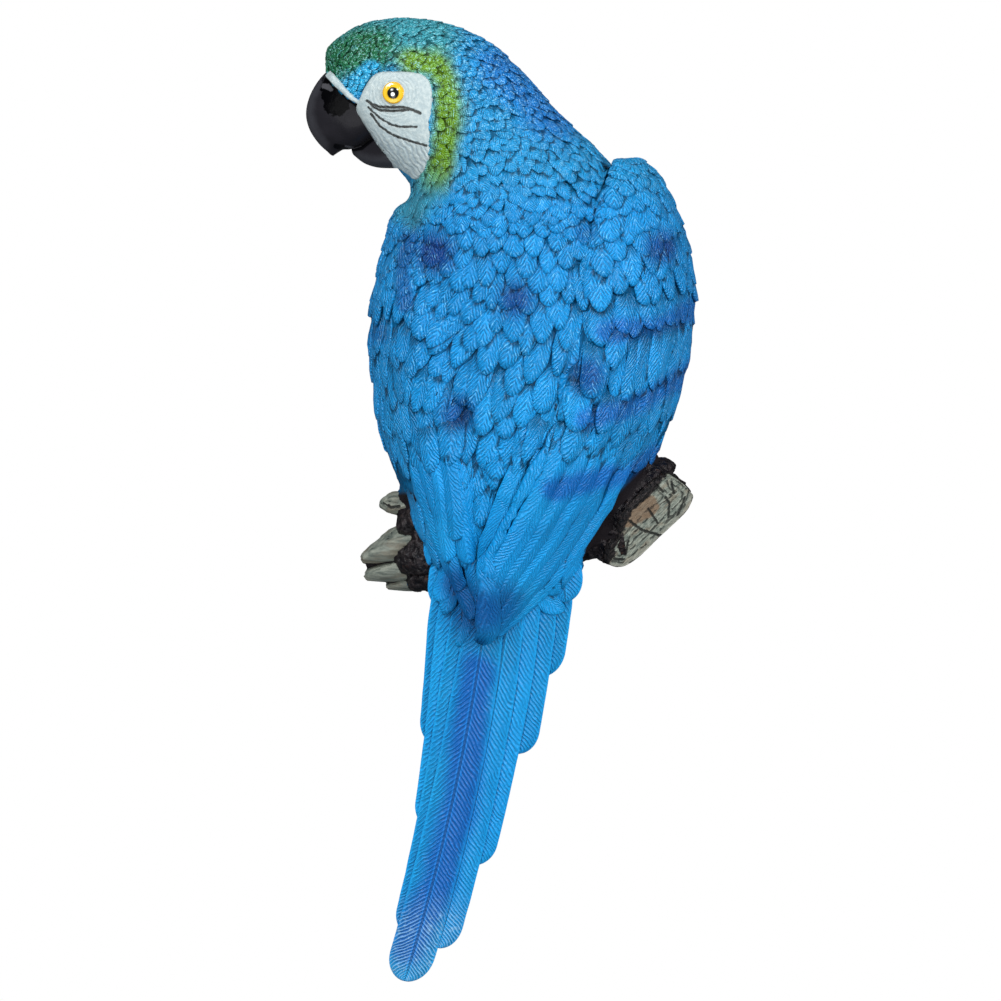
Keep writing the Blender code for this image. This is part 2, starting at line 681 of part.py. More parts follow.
def bake(obj):
    """Replaces an object's modifiers by their result, and keeps only its one large body."""
    graph = bpy.context.evaluated_depsgraph_get()
    mesh = bpy.data.meshes.new_from_object(obj.evaluated_get(graph), depsgraph=graph)
    obj.modifiers.clear()
    obj.data = mesh
    work = bmesh.new()
    work.from_mesh(mesh)
    bmesh.ops.remove_doubles(work, verts=work.verts, dist=WELD * MM)
    bmesh.ops.dissolve_degenerate(work, edges=work.edges, dist=WELD * MM)
    left = set(work.faces)
    bodies = []
    while left:
        front = [left.pop()]
        body = list(front)
        while front:
            simple = [edge for edge in front.pop().edges if len(edge.link_faces) == 2]
            near = {face for edge in simple for face in edge.link_faces} & left
            left -= near
            front += near
            body += near
        bodies.append(body)
    bodies.sort(key=len)
    for body in bodies[:-1]:
        bmesh.ops.delete(work, geom=body, context="FACES")
    loose = [vertex for vertex in work.verts if not vertex.link_faces]
    bmesh.ops.delete(work, geom=loose, context="VERTS")
    bmesh.ops.triangulate(work, faces=work.faces)
    work.to_mesh(mesh)
    work.free()
    mesh.shade_smooth()
    mesh.set_sharp_from_angle(angle=math.radians(SHARP_ANGLE))


def join_and_cut(base, additions, cutters):
    """One casting: every addition is joined to the base, then every cutter is taken away."""
    for label, tools, operation in (("additions", additions, "UNION"), ("cutters", cutters, "DIFFERENCE")):
        collection = bpy.data.collections.new(label)
        bpy.context.scene.collection.children.link(collection)
        for tool in tools:
            bpy.context.scene.collection.objects.unlink(tool)
            collection.objects.link(tool)
        modifier = base.modifiers.new(label, "BOOLEAN")
        modifier.operation = operation
        modifier.solver = "EXACT"
        modifier.operand_type = "COLLECTION"
        modifier.collection = collection
        modifier.material_mode = "TRANSFER"
        modifier.use_self = True
    bake(base)
    for tool in additions + cutters:
        bpy.data.objects.remove(tool)


def main():
    clear_scene()
    blue = make_material("plumage_blue", (0.02, 0.26, 0.62), 0.42)
    white = make_material("face_white", (0.62, 0.67, 0.66), 0.5)
    black = make_material("beak_black", (0.006, 0.006, 0.008), 0.12)
    yellow = make_material("eye_yellow", (0.75, 0.42, 0.01), 0.3)
    wood = make_material("sawn_wood", (0.16, 0.15, 0.12), 0.7)
    bark = make_material("bark", (0.02, 0.017, 0.015), 0.6)
    resin = make_material("bare_resin", (0.62, 0.58, 0.5), 0.55)
    figurine = back_and_head(blue)
    figurine.name = "parrot_figurine"
    head_front = head_surface()
    pieces = [
        wing("right_wing", RIGHT_WING_ROWS, RIGHT_WING_FEATHER_ROWS, RIGHT_WING_FEATHER_COUNT, blue),
        wing("left_wing", LEFT_WING_ROWS, LEFT_WING_FEATHER_ROWS, LEFT_WING_FEATHER_COUNT, blue),
        tail_core(blue),
        beak_part("upper_beak", UPPER_BEAK_ROWS, black),
        beak_part("lower_beak", LOWER_BEAK_ROWS, black),
        bare_skin("face_patch", FACE_OUTLINE, FACE_RINGS, head_front, white),
        bare_skin("cere", CERE_OUTLINE, CERE_RINGS, head_front, white),
        eye(head_front, yellow),
    ]
    for number, row in enumerate(TAIL_FEATHERS, 1):
        pieces.append(tail_feather(f"tail_feather_{number}", *row, blue))
    pieces += log(wood, bark)
    wall = box("wall_side", (-REACH, 0.0, -REACH), (REACH, REACH, REACH), resin)
    join_and_cut(figurine, pieces, [wall, pocket_cutter(resin)])


main()
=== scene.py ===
"""Painted resin parrot figurine, seen as it hangs: finished surface over the cast form.

Millimetres and the part's own frame throughout: the wall is Y = 0, the bird stands out of it
towards -Y, +Z is up. Places are read off a front drawing, DRAWING_MM millimetres a unit, whose
point DRAWING_MIDDLE is the origin.
"""

import json
import math
import random

import bmesh
import bpy
import numpy as np
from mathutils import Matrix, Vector, noise
from mathutils.bvhtree import BVHTree

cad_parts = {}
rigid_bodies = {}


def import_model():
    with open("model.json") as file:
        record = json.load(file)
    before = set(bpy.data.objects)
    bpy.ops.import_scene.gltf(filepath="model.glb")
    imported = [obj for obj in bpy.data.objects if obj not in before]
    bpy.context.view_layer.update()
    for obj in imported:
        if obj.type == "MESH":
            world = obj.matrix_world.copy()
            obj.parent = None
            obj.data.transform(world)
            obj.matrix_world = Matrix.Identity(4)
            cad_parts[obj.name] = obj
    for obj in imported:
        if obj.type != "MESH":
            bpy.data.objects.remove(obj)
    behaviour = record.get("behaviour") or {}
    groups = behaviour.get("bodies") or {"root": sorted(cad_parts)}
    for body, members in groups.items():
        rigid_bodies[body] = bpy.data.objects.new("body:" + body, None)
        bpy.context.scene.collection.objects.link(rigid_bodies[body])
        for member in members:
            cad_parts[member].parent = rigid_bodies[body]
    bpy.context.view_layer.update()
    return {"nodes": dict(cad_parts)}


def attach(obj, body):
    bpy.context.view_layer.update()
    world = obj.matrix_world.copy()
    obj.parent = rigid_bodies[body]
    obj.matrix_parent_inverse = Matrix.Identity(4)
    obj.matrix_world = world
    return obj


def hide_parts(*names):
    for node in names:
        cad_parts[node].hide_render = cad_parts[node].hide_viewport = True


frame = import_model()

RNG = random.Random(7)

# Sizes

MM = 0.001
DRAWING_UNITS = 1001
DRAWING_MM = 310.0 / 964.0
DRAWING_MIDDLE = (500.5, 500.0)
HEAD_MIDDLE = 26.0
WALL_CLEARANCE = 0.3
FAR_OUT = 200.0
INTO_WALL = Vector((0.0, 1.0, 0.0))
SECTION_ROUNDING = 0.91  # power of the sections' cosine and sine: 1 is an ellipse, less is squarer
SKIN_GRAIN = 1.1
SKIN_SOFTENING = 9
SKIN_INSET = 0.7
SEAT = 0.6  # share of a feather that lies above its seed, towards the root
STREWN_COLUMNS = 190  # places tried across a field of strewn feathers
CLEAR_ASIDE = 0.66  # share of its width that a strewn feather keeps clear to either side
OVERLAP = 1.3  # how much wider than its place a strewn feather is
NEIGHBOURHOOD = 12.0  # side of the boxes that strewn feathers are sorted into
ROW_OVERLAP = 1.4
ROW_HEIGHT = 0.6
ROW_LIFT = 0.2
TAIL_ROOT_Z = -24.0
TAIL_TIP_Z = -155.2
TAIL_TIP_FRONT = 11.0  # distance of the tail's front from the wall at its tip
TAIL_SWELL = 27.0  # how much further out it is at the root
TAIL_FEATHER_DEPTH = 2.2
TAIL_LAYER_STEP = 1.7
LOG_RADIUS = 14.2
LOG_ENDS = ((-27.0, -16.0, -15.0), (38.0, -16.0, -3.0))

# The same sections as the casting: crown or outer point (x, z), throat or inner point (x, z),
# distance of the outline from the wall, swell towards the front.
BACK_ROWS = (
    (-56.5, 141.0, -35.0, 109.5, 26.0, 13.0), (-56.0, 145.3, -33.0, 107.0, 26.0, 16.5),
    (-50.5, 149.8, -31.5, 105.0, 26.0, 18.8), (-42.0, 154.0, -30.0, 103.5, 26.0, 20.5),
    (-29.5, 155.0, -29.5, 102.5, 26.0, 22.0), (-16.0, 153.0, -29.0, 102.0, 26.0, 23.0),
    (-2.5, 146.5, -28.5, 101.0, 26.0, 24.0), (8.0, 136.5, -28.5, 99.5, 26.0, 26.0),
    (16.5, 126.5, -28.5, 98.0, 26.0, 29.0), (25.5, 117.5, -29.5, 96.0, 26.0, 32.0),
    (34.0, 109.0, -30.5, 93.5, 25.0, 35.0), (41.0, 96.0, -32.5, 88.0, 24.0, 39.0),
    (47.0, 80.0, -34.5, 77.5, 23.0, 42.0), (51.0, 61.0, -37.0, 61.0, 22.0, 43.5),
    (50.0, 42.0, -37.5, 43.0, 21.0, 43.0), (45.0, 22.5, -35.0, 24.0, 20.0, 41.0),
    (35.5, 3.0, -30.0, 7.0, 18.0, 37.5), (26.0, -14.5, -24.0, -11.0, 16.0, 33.0),
    (18.0, -29.0, -20.0, -29.0, 14.0, 26.0),
)
RIGHT_WING_ROWS = (
    (44.8, 109.8, 36.5, 109.6, 31.0, 43.0), (50.8, 103.5, 33.5, 101.0, 28.0, 53.5),
    (56.5, 91.5, 31.0, 88.0, 26.0, 59.5), (61.0, 75.5, 28.5, 71.0, 25.0, 63.0),
    (61.8, 58.0, 24.5, 53.0, 24.0, 65.0), (59.3, 40.0, 20.0, 34.0, 23.0, 65.5),
    (54.5, 25.5, 15.5, 18.0, 22.0, 64.0), (48.5, 11.5, 9.0, 3.0, 21.0, 60.5),
    (39.0, -3.0, 1.5, -9.5, 21.0, 56.0), (29.0, -16.0, -4.5, -21.0, 24.0, 51.0),
    (16.5, -28.5, -8.5, -30.5, 29.0, 47.0), (5.5, -38.0, -9.5, -38.0, 33.0, 44.0),
    (-2.5, -43.5, -7.5, -43.0, 36.0, 41.0),
)
LEFT_WING_ROWS = (
    (-32.5, 95.0, -29.5, 93.0, 31.0, 37.0), (-35.0, 88.0, -26.0, 85.0, 27.0, 49.0),
    (-37.5, 78.0, -22.5, 72.5, 25.0, 55.0), (-40.5, 64.5, -19.5, 57.0, 24.0, 60.0),
    (-42.0, 50.0, -17.0, 41.0, 23.0, 61.0), (-40.0, 34.0, -14.5, 25.5, 22.0, 60.0),
    (-38.0, 21.0, -12.0, 11.5, 21.0, 57.5), (-33.5, 8.0, -10.0, -1.5, 21.0, 54.0),
    (-28.5, -5.0, -8.5, -13.0, 22.0, 49.0), (-22.5, -17.5, -7.5, -24.0, 25.0, 44.0),
    (-17.0, -29.0, -8.0, -33.5, 29.0, 40.0), (-12.0, -37.0, -8.5, -38.5, 32.0, 37.0),
)
# Sections of the beak from its root: upper point (x, z), lower point (x, z), half width.
UPPER_BEAK_ROWS = (
    (-49.0, 141.0, -31.0, 122.0, 13.2), (-56.0, 137.5, -38.0, 118.0, 13.2), (-60.6, 131.5, -44.0, 114.5, 11.6),
    (-62.5, 125.0, -48.0, 113.0, 9.2), (-61.5, 119.5, -50.5, 112.8, 7.4), (-58.5, 114.8, -52.0, 112.0, 5.0),
    (-55.5, 112.0, -53.5, 111.0, 2.2),
)
LOWER_BEAK_ROWS = (
    (-31.0, 124.0, -31.5, 107.0, 11.5), (-39.5, 119.5, -38.5, 107.0, 9.6), (-44.0, 116.3, -43.5, 108.3, 6.4),
    (-47.5, 114.2, -47.0, 110.8, 3.4),
)

# Feathers

# Where the neck's feathers end over the back, counted in sections of BACK_ROWS.
NECK_END = 10.3
HEAD_REACH = (-0.3, 10.4)
MANTLE_REACH = (10.2, 17.5)
# Lie of the feathers: place on the drawing, and degrees from straight down towards -X.
FEATHER_LIE = (
    (430, 240, 16), (470, 250, 6), (520, 260, 2), (570, 230, 4), (610, 200, 8), (640, 190, -8),
    (665, 230, -14), (680, 290, -6), (640, 260, 0), (600, 300, 0), (560, 310, 2), (510, 330, 4),
    (460, 320, 24), (430, 330, 34), (395, 260, 10), (380, 320, 2), (390, 380, 6), (430, 400, 34),
    (465, 410, 24), (510, 420, 10), (560, 420, 6), (600, 400, 8), (650, 350, 4), (685, 350, 4),
    (660, 420, 22), (620, 450, 22), (570, 480, 22), (530, 500, 16), (480, 500, 10), (440, 480, 6),
    (405, 450, -10), (420, 530, -12), (450, 560, -12), (620, 500, 34), (580, 560, 40), (520, 580, 34),
)
# Feathers along the border between the back and the right wing: tip on the drawing, width, length, lift.
SHOULDER_BORDER = (
    ((612, 214), 6.5, 13, 0.6), ((609, 246), 7.0, 15, 0.7), ((602, 282), 7.5, 17, 0.8),
    ((599, 316), 8.0, 18, 0.9), ((596, 350), 8.0, 19, 1.0), ((588, 400), 9.5, 24, 1.4),
    ((609, 372), 8.0, 19, 0.6), ((572, 432), 9.0, 22, 1.2), ((597, 436), 8.5, 20, 0.7),
    ((561, 462), 9.0, 22, 1.1), ((545, 488), 9.0, 22, 1.0), ((520, 470), 9.0, 22, 0.8),
    ((512, 505), 9.0, 22, 0.8), ((478, 526), 9.5, 24, 0.9), ((496, 480), 8.5, 21, 0.6),
    ((462, 492), 8.5, 22, 0.5), ((417, 342), 7.5, 20, 0.6), ((430, 352), 8.0, 21, 0.6),
    ((501, 440), 8.5, 22, 0.4), ((599, 222), 6.5, 13, 0.3), ((487, 213), 6.0, 12, 0.2),
    ((519, 492), 9.0, 24, 2.0), ((532, 472), 9.0, 24, 1.8), ((436, 474), 8.5, 22, 1.1),
    ((451, 468), 8.5, 22, 1.1),
)
# Short feathers over the root of the tail: root and tip on the drawing, width and lift.
TAIL_COVERTS = (
    ((520, 575), (562, 612), 8.0, 1.0), ((538, 560), (577, 608), 7.4, 1.1),
    ((556, 540), (586, 601), 9.0, 1.5), ((450, 560), (428, 604), 6.6, 1.1),
    ((466, 570), (446, 614), 6.6, 1.3), ((470, 585), (460, 648), 7.6, 0.2),
    ((442, 530), (431, 565), 5.4, 0.9),
)
# Last rows of each wing's coverts: along, skew, span, width, length and stray.
RIGHT_WING_LAST = (
    (4.1, 0.15, (-0.24, 0.98), 5.8, 18.0, 1.4), (4.95, 0.6, (-0.24, 1.02), 6.2, 28.0, 1.8),
    (5.9, 0.8, (-0.1, 1.02), 6.6, 30.0, 2.2), (7.0, 0.35, (0.06, 1.02), 7.2, 32.0, 2.4),
)
LEFT_WING_LAST = (
    (4.2, 0.2, (-0.24, 1.0), 4.6, 18.0, 3.0), (4.9, 0.4, (-0.24, 1.0), 4.8, 22.0, 3.6),
    (5.7, 0.5, (-0.24, 1.0), 5.2, 26.0, 4.2), (6.7, 0.2, (-0.1, 1.0), 5.6, 28.0, 3.6),
)
# Each wing: its sections, the sections its strewn coverts reach over, their first and last width, last rows.
RIGHT_WING = (RIGHT_WING_ROWS, (0.4, 3.7), 4.2, 6.2, RIGHT_WING_LAST)
LEFT_WING = (LEFT_WING_ROWS, (0.6, 3.6), 3.6, 5.2, LEFT_WING_LAST)
# Flight feathers, lowest first: places on the drawing from root to tip, width and lift.
FLIGHTS = (
    (((400, 405), (410, 455), (424, 495), (437, 534), (452, 566), (476, 618)), 7.0, 0.1),
    (((412, 405), (425, 460), (439, 505), (450, 548), (463, 588)), 7.0, 0.4),
    (((428, 410), (437, 460), (446, 505), (452, 558)), 6.6, 0.8),
    (((443, 415), (450, 460), (460, 505), (470, 560)), 8.0, 0.6),
    (((455, 415), (462, 460), (472, 510), (478, 560), (482, 606)), 8.5, 0.3),
    (((443, 415), (450, 460), (456, 500), (459, 536)), 6.4, 1.2),
    (((640, 405), (633, 450), (603, 506), (580, 540), (549, 582), (494, 633)), 7.0, 0.2),
    (((630, 400), (618, 445), (589, 502), (564, 543), (534, 581), (492, 628)), 7.6, 0.5),
    (((612, 400), (600, 445), (573, 500), (547, 543), (520, 578), (490, 620)), 7.6, 0.8),
    (((596, 400), (584, 440), (558, 495), (532, 540), (508, 574), (488, 611)), 7.6, 1.1),
    (((578, 400), (566, 440), (542, 490), (518, 535), (499, 566), (486, 602)), 7.6, 1.4),
    (((558, 410), (548, 445), (528, 488), (508, 530), (493, 560), (484, 592)), 7.6, 1.7),
    (((540, 420), (528, 455), (512, 492), (500, 528), (488, 570), (485, 637)), 8.8, 2.1),
)
# Tail feathers: root (x, z), tip (x, z), width, and the layer counted from the front.
TAIL_FEATHERS = (
    (-3.0, -24.0, -31.0, -155.2, 14.5, 0), (-9.0, -24.0, -29.0, -140.5, 13.0, 1),
    (4.0, -24.0, -20.5, -144.5, 12.5, 1), (-13.5, -24.0, -22.0, -106.0, 13.5, 2),
    (9.0, -24.0, -9.0, -117.5, 12.5, 2), (-16.0, -24.0, -20.0, -79.0, 13.5, 3),
    (13.5, -24.0, 5.0, -81.5, 12.5, 3), (17.5, -22.0, 12.5, -56.5, 14.0, 4),
    (-17.0, -18.0, -18.5, -34.5, 11.0, 4), (18.0, -12.0, 21.0, -32.5, 13.0, 3),
)
# Shapes of a small scale and of a broad covert: grid lines across and along, and then for each
# kind the rounding of its tip, camber, shaft, thickness, how pointed it is and its skew.
SCALE_ACROSS = (-1.0, -0.9, -0.35, 0.35, 0.9, 1.0)
SCALE_ALONG = (0.0, 0.42, 0.72, 0.94, 1.0)
SCALE_KINDS = (
    (0.34, 0.25, 0.15, 0.9, 0.0, 0.0), (0.48, 0.3, 0.15, 0.9, 0.7, 0.0), (0.40, 0.2, 0.15, 0.9, 0.4, 0.3),
    (0.42, 0.3, 0.15, 0.9, 0.5, -0.3),
)
COVERT_ACROSS = (-1.0, -0.92, -0.66, -0.22, 0.22, 0.66, 0.92, 1.0)
COVERT_ALONG = (0.0, 0.36, 0.58, 0.74, 0.87, 0.965, 1.0)
COVERT_KINDS = (
    (0.34, 0.4, 0.28, 1.2, 0.0, 0.0), (0.42, 0.45, 0.3, 1.2, 0.3, 0.12),
    (0.38, 0.45, 0.24, 1.2, 0.15, -0.15), (0.46, 0.4, 0.3, 1.2, 0.45, 0.0),
)

# Face, eye and log

# Share of the outline and rise over the head of each ring of the face's edge; then the rings inside it.
PLATE_EDGE = ((0.97, -7.0), (1.0, -4.0), (1.0, 0.0))
PLATE_RINGS = (0.99, 0.97, 0.94, 0.9, 0.85, 0.79, 0.72, 0.64, 0.56, 0.48, 0.4, 0.32, 0.24, 0.16, 0.08, 0.02)
# Radius and height of each ring of the eye.
EYE_PROFILE = (
    (3.5, -2.0), (3.6, 0.1), (3.45, 0.6), (3.1, 0.8), (2.6, 0.75), (2.3, 0.9), (1.7, 1.25), (1.0, 1.5),
    (0.3, 1.58),
)
EYE_FACING = (-0.12, -1.0, 0.1)
SAWN_END_CENTRE = (48.0, -19.0, -6.4)
SAWN_END_NORMAL = (0.71, -0.39, -0.59)
SAWN_END_OUTLINE = (
    (50.0, 5.1), (54.5, 7.4), (59.0, 5.1), (61.6, 2.6), (62.5, 1.0), (60.0, -3.9), (51.9, -11.6),
    (45.2, -18.0), (39.7, -21.5), (34.9, -20.3), (35.5, -15.1), (38.1, -12.2), (39.4, -7.1), (42.6, -2.3),
)
SAWN_END_RINGS = (0.985, 0.95, 0.88, 0.8, 0.7, 0.6, 0.5, 0.4, 0.3, 0.2, 0.1, 0.03)
# Splinters: root (x, z) and height, tip (x, z) and height, front and back, whether bark covers it.
SPLINTERS = (
    (-29.0, -12.5, 14.0, -45.0, -18.6, 3.0, 27.0, 4.0, False),
    (-28.0, -20.5, 11.0, -43.8, -24.0, 3.6, 23.0, 3.0, False),
    (-27.0, -26.0, 6.0, -37.0, -27.5, 2.6, 18.0, 3.0, False),
    (-26.0, -5.5, 14.0, -33.5, -9.0, 8.0, 31.0, 5.0, True),
    (-23.0, -17.0, 19.0, -33.5, -18.5, 8.0, 32.0, 4.0, True),
    (-20.0, -23.5, 11.0, -30.0, -25.5, 6.5, 28.0, 3.0, True),
)

# Colours of the plumage and of its painted shade and highlights, and where on the drawing the sprayed ones go

BASE_BLUE = (0.003, 0.245, 0.600)
PALE_BLUE = (0.012, 0.340, 0.680)
SHOULDER_BLUE = (0.003, 0.190, 0.495)
DEEP_BLUE = (0.0, 0.032, 0.190)
STRIPE_BLUE = (0.003, 0.108, 0.400)
TAIL_BLUE = (0.003, 0.108, 0.450)
# Painted shade along the groove between the left wing and the back.
GROOVE_SHADE_BLUE = (0.003, 0.060, 0.240)
NECK_BLUE = (0.010, 0.235, 0.475)
LORE_BLUE = (0.014, 0.300, 0.550)
# Painted highlight laid on the barbs' ridges and the feathers' edges.
BRUSHED_HIGHLIGHT_BLUE = (0.10, 0.62, 0.90)
GLINT_BLUE = (0.20, 0.58, 0.84)
# Painted sparkle highlight on the head.
SPARKLE_HIGHLIGHT_BLUE = (0.45, 0.80, 0.86)
# Painted highlight towards the tail's tip.
TIP_HIGHLIGHT_BLUE = (0.22, 0.42, 0.62)
# Share of the barbs' painted ridge highlight where the paint is bold.
DRY_BRUSH_HIGHLIGHT = 0.6
# x, y, radius and strength of each spot.
SPRAYED_SPOTS = (
    (434, 256, 18, 1.0), (516, 303, 16, 0.85), (583, 237, 10, 0.5), (661, 249, 15, 0.9),
    (587, 376, 16, 0.8), (458, 415, 16, 0.85), (379, 335, 10, 0.5), (480, 610, 28, 0.8),
    (455, 580, 15, 0.7), (508, 596, 15, 0.5),
)
SPRAYED_STRIPES = (
    ((606, 334), (654, 329), (695, 309)), ((583, 420), (619, 411), (654, 395), (695, 368)),
    ((552, 490), (598, 479), (626, 475), (662, 453)),
)
TAIL_STRIPE = ((478, 668), (464, 760), (458, 810), (440, 878), (408, 950))
SHOULDER_GROOVE = ((419, 206), (409, 240), (403, 275), (406, 306))
NECK_FADE = (225.0, 165.0)
# Nape, crown, brow, cheek and throat: line, where the colour ends, where it is full, strength, colour.
HEAD_SPRAYS = (
    (((500, 66), (553, 122)), 40.0, 4.0, 0.8, (0.003, 0.125, 0.460)),
    (((325, 60), (380, 34), (428, 36)), 46.0, 14.0, 0.8, (0.040, 0.280, 0.290)),
    (((320, 58), (345, 56), (374, 50)), 34.0, 11.0, 1.0, (0.012, 0.125, 0.045)),
    (
        ((412, 66), (436, 68), (447, 88), (449, 120), (445, 155), (434, 180)),
        25.0, 5.0, 1.0, (0.120, 0.260, 0.004),
    ),
    (((425, 190), (412, 210)), 30.0, 6.0, 0.6, (0.040, 0.250, 0.270)),
)
LORE_LINE = ((349, 90), (358, 84), (372, 72))
GLINTS_FADE = (560.0, 330.0)
SPECKLE_FADE = (230.0, 40.0)
# Where the painted highlight of the tail's tip begins and where it is full.
TIP_HIGHLIGHT_FADE = (885.0, 935.0)

# Colours and lines of the skin, face, beak and eye

LOG_LEFT_LINE = ((365, 560), (405, 535))
LOG_RIGHT_LINE = ((605, 565), (690, 480))
BEHIND_BEAK_LINE = ((330, 95), (345, 130), (378, 156))
BEHIND_LOG_BLACK = (0.012, 0.010, 0.012)
BEHIND_BEAK_BLACK = (0.006, 0.006, 0.007)
BARE_RESIN = ((0.50, 0.47, 0.41), (0.60, 0.57, 0.50))
FACE_WHITES = ((0.31, 0.385, 0.405), (0.43, 0.495, 0.495))
FACE_SHADE = (0.21, 0.28, 0.34)
FACE_GREY = (0.10, 0.115, 0.115)
FACE_BLACK = (0.014, 0.015, 0.014)
# Half width and course of each black line of the face.
FACE_LINES = (
    (
        1.1,
        ((367.7, 103.2), (373, 106.5), (380.7, 109.5), (392, 109.6), (403.7, 109.7), (412, 112.3), (421, 116)),
    ),
    (0.9, ((370, 105), (375, 110), (381, 112.6), (392, 113.7), (401, 113.3), (410, 112.3))),
    (0.85, ((369, 109.5), (380.7, 120.5), (392.2, 127), (400.9, 129.2), (417, 129.6))),
    (0.95, ((372, 116.2), (380.7, 128.4), (392.2, 136.4), (400.9, 140), (409.5, 142.9), (427, 148.2))),
)
BETWEEN_FIRST_LINES = ((374, 108.5), (392, 111.7), (404, 111.5))
EYE_RINGS_MIDDLE = (394, 95.5)
BEAK_RIM_LINE = ((322, 70), (328, 74), (339, 86), (351, 98), (362, 106), (372, 117))
# Painted reflection on the beak: a near-black patch, a grey sheen with lighter rims, and gleams.
BEAK_REFLECTED_DARK_LINE = ((334, 88), (337, 105))
BEAK_SHEEN_LINE = ((318, 82), (309, 97), (307, 113), (312, 132), (322, 147))
CHIN_SHEEN_LINE = ((352, 158), (372, 164), (392, 164))
BEAK_GLEAM_LINE = ((325, 87), (331, 90))
# Painted shade along the line between the beak's halves, with a painted highlight beside it.
MOUTH_LINE = ((336, 146.5), (350, 149.5), (362, 148), (371, 141), (379, 134))
MOUTH_GLOSS_LINE = ((346, 146.5), (354, 148), (361, 146))
# Greys of the beak's painted sheen.
BEAK_SHEEN_GREYS = ((0.009, 0.009, 0.011), (0.019, 0.018, 0.0225))
BEAK_SHEEN = (0.050, 0.051, 0.060)
BEAK_REFLECTED_DARK = (0.001, 0.001, 0.0015)
MOUTH_SHADE_BLACK = (0.0012, 0.0012, 0.0018)
BEAK_GLEAM = (0.080, 0.080, 0.090)
IRIS_MIDDLE = (393.9, 95.8)
EYE_GLEAM_MIDDLE = (393.6, 97.0)
IRIS_YELLOWS = ((0.66, 0.42, 0.018), (0.58, 0.33, 0.014))
PUPIL_BLACK = (0.006, 0.006, 0.006)
EYE_GLEAM = (0.85, 0.87, 0.85)

# Colours and lines of the log

WOOD_GREYS = ((0.085, 0.105, 0.090), (0.250, 0.270, 0.225))
WOOD_WARM = (0.190, 0.125, 0.070)
WOOD_BROWN = (0.150, 0.090, 0.050)
WOOD_EDGE = (0.330, 0.320, 0.270)
WOOD_SPLIT = (0.010, 0.012, 0.011)
WOOD_PALE = (0.42, 0.43, 0.37)
WOOD_BARK = ((0.006, 0.005, 0.006), (0.045, 0.032, 0.030))
BARK_DARKS = ((0.005, 0.004, 0.006), (0.034, 0.026, 0.028))
BARK_RED = (0.060, 0.028, 0.020)
BARK_GREY = (0.120, 0.105, 0.100)
BROWN_PATCH_LINE = ((628, 516), (648, 506))
BARK_BORDER_LINE = ((650, 470), (640, 482), (618, 505), (607, 530), (596, 556))
CUT_EDGE = ((682, 474), (696, 488), (694, 505), (662, 538), (641, 558), (624, 569), (608, 566))
CRACKS = (
    ((628.6, 520), (642.9, 530), (663, 535.7)), ((648.6, 508.6), (658.6, 523)),
    ((665.7, 497), (670, 503), (669.3, 517)), ((655.7, 484.3), (663, 491.4)),
    ((671.4, 481.4), (674.3, 493)), ((685.7, 497), (683.6, 504.3), (678.6, 514.3)),
    ((628.6, 540), (625.7, 554.3)), ((614.3, 558.6), (624.3, 559.3)), ((384, 503), (391, 507), (399, 506)),
)

# Light and camera, in metres

LIT_POINT = (0.0, -0.03, 0.0)
SOFT_WHITE = (0.95, 0.98, 1.0)
MIRRORED_GREY = (0.05, 0.055, 0.06)
SENSOR_MM = 36.0
FOCUS_DISTANCE = 3.0


def at(x, y):
    """A point of the drawing as (x, z) in millimetres."""
    return (x - DRAWING_MIDDLE[0]) * DRAWING_MM, (DRAWING_MIDDLE[1] - y) * DRAWING_MM


FACE_OUTLINE = [at(*p) for p in (
    (366, 89), (377, 76), (395, 74), (420, 76), (430, 83), (434, 97), (433, 115), (431, 128), (433, 153),
    (429, 170), (419, 181), (410, 175), (399, 168), (384, 166), (380, 152), (374, 140), (368, 128),
    (362, 117), (358, 108),
)]
BARE_OF_FEATHERS = [at(*p) for p in (
    (316, 76), (328, 72), (340, 83), (352, 94), (366, 103), (367, 89), (378, 77), (395, 75), (420, 77),
    (431, 84), (436, 97), (436, 115), (434, 128), (436, 153), (431, 171), (419, 182), (409, 178), (399, 172),
    (384, 174), (350, 184), (296, 180), (296, 90),
)]
EYE_PLACE = at(394.4, 95.3)
EYE_HOLLOW = at(394, 95)


def smooth_step(t):
    t = min(max(t, 0.0), 1.0)
    return t * t * (3 - 2 * t)


def blend_rows(rows, place):
    """The row of numbers at a fractional place, on a smooth curve through all rows."""
    last = len(rows) - 1
    first = min(int(max(place, 0.0)), last - 1)
    t = place - first
    before, start = rows[max(first - 1, 0)], rows[first]
    end, after = rows[first + 1], rows[min(first + 2, last)]
    return tuple(
        0.5 * (2 * b + (c - a) * t + (2 * a - 5 * b + 4 * c - d) * t * t + (3 * b - a - 3 * c + d) * t**3)
        for a, b, c, d in zip(before, start, end, after)
    )


def curve_of(points, t):
    """A point on the smooth curve through drawing points, t from 0 to 1."""
    return Vector(blend_rows(points, t * (len(points) - 1)))


def heading(points, t):
    """Which way that curve runs at t."""
    return curve_of(points, min(t + 0.02, 1.0)) - curve_of(points, max(t - 0.02, 0.0))


def squared(angle, power):
    """Cosine and sine of an angle, made squarer by a power under 1."""
    return tuple(math.copysign(abs(part) ** power, part) for part in (math.cos(angle), math.sin(angle)))


def round_about(count):
    """Cosine and sine of evenly spaced directions round a ring."""
    return [(math.cos(math.tau * k / count), math.sin(math.tau * k / count)) for k in range(count)]


def rough(spot, size, seed=0.0):
    return noise.noise(Vector((spot.x / size, spot.y / size + seed, spot.z / size)))


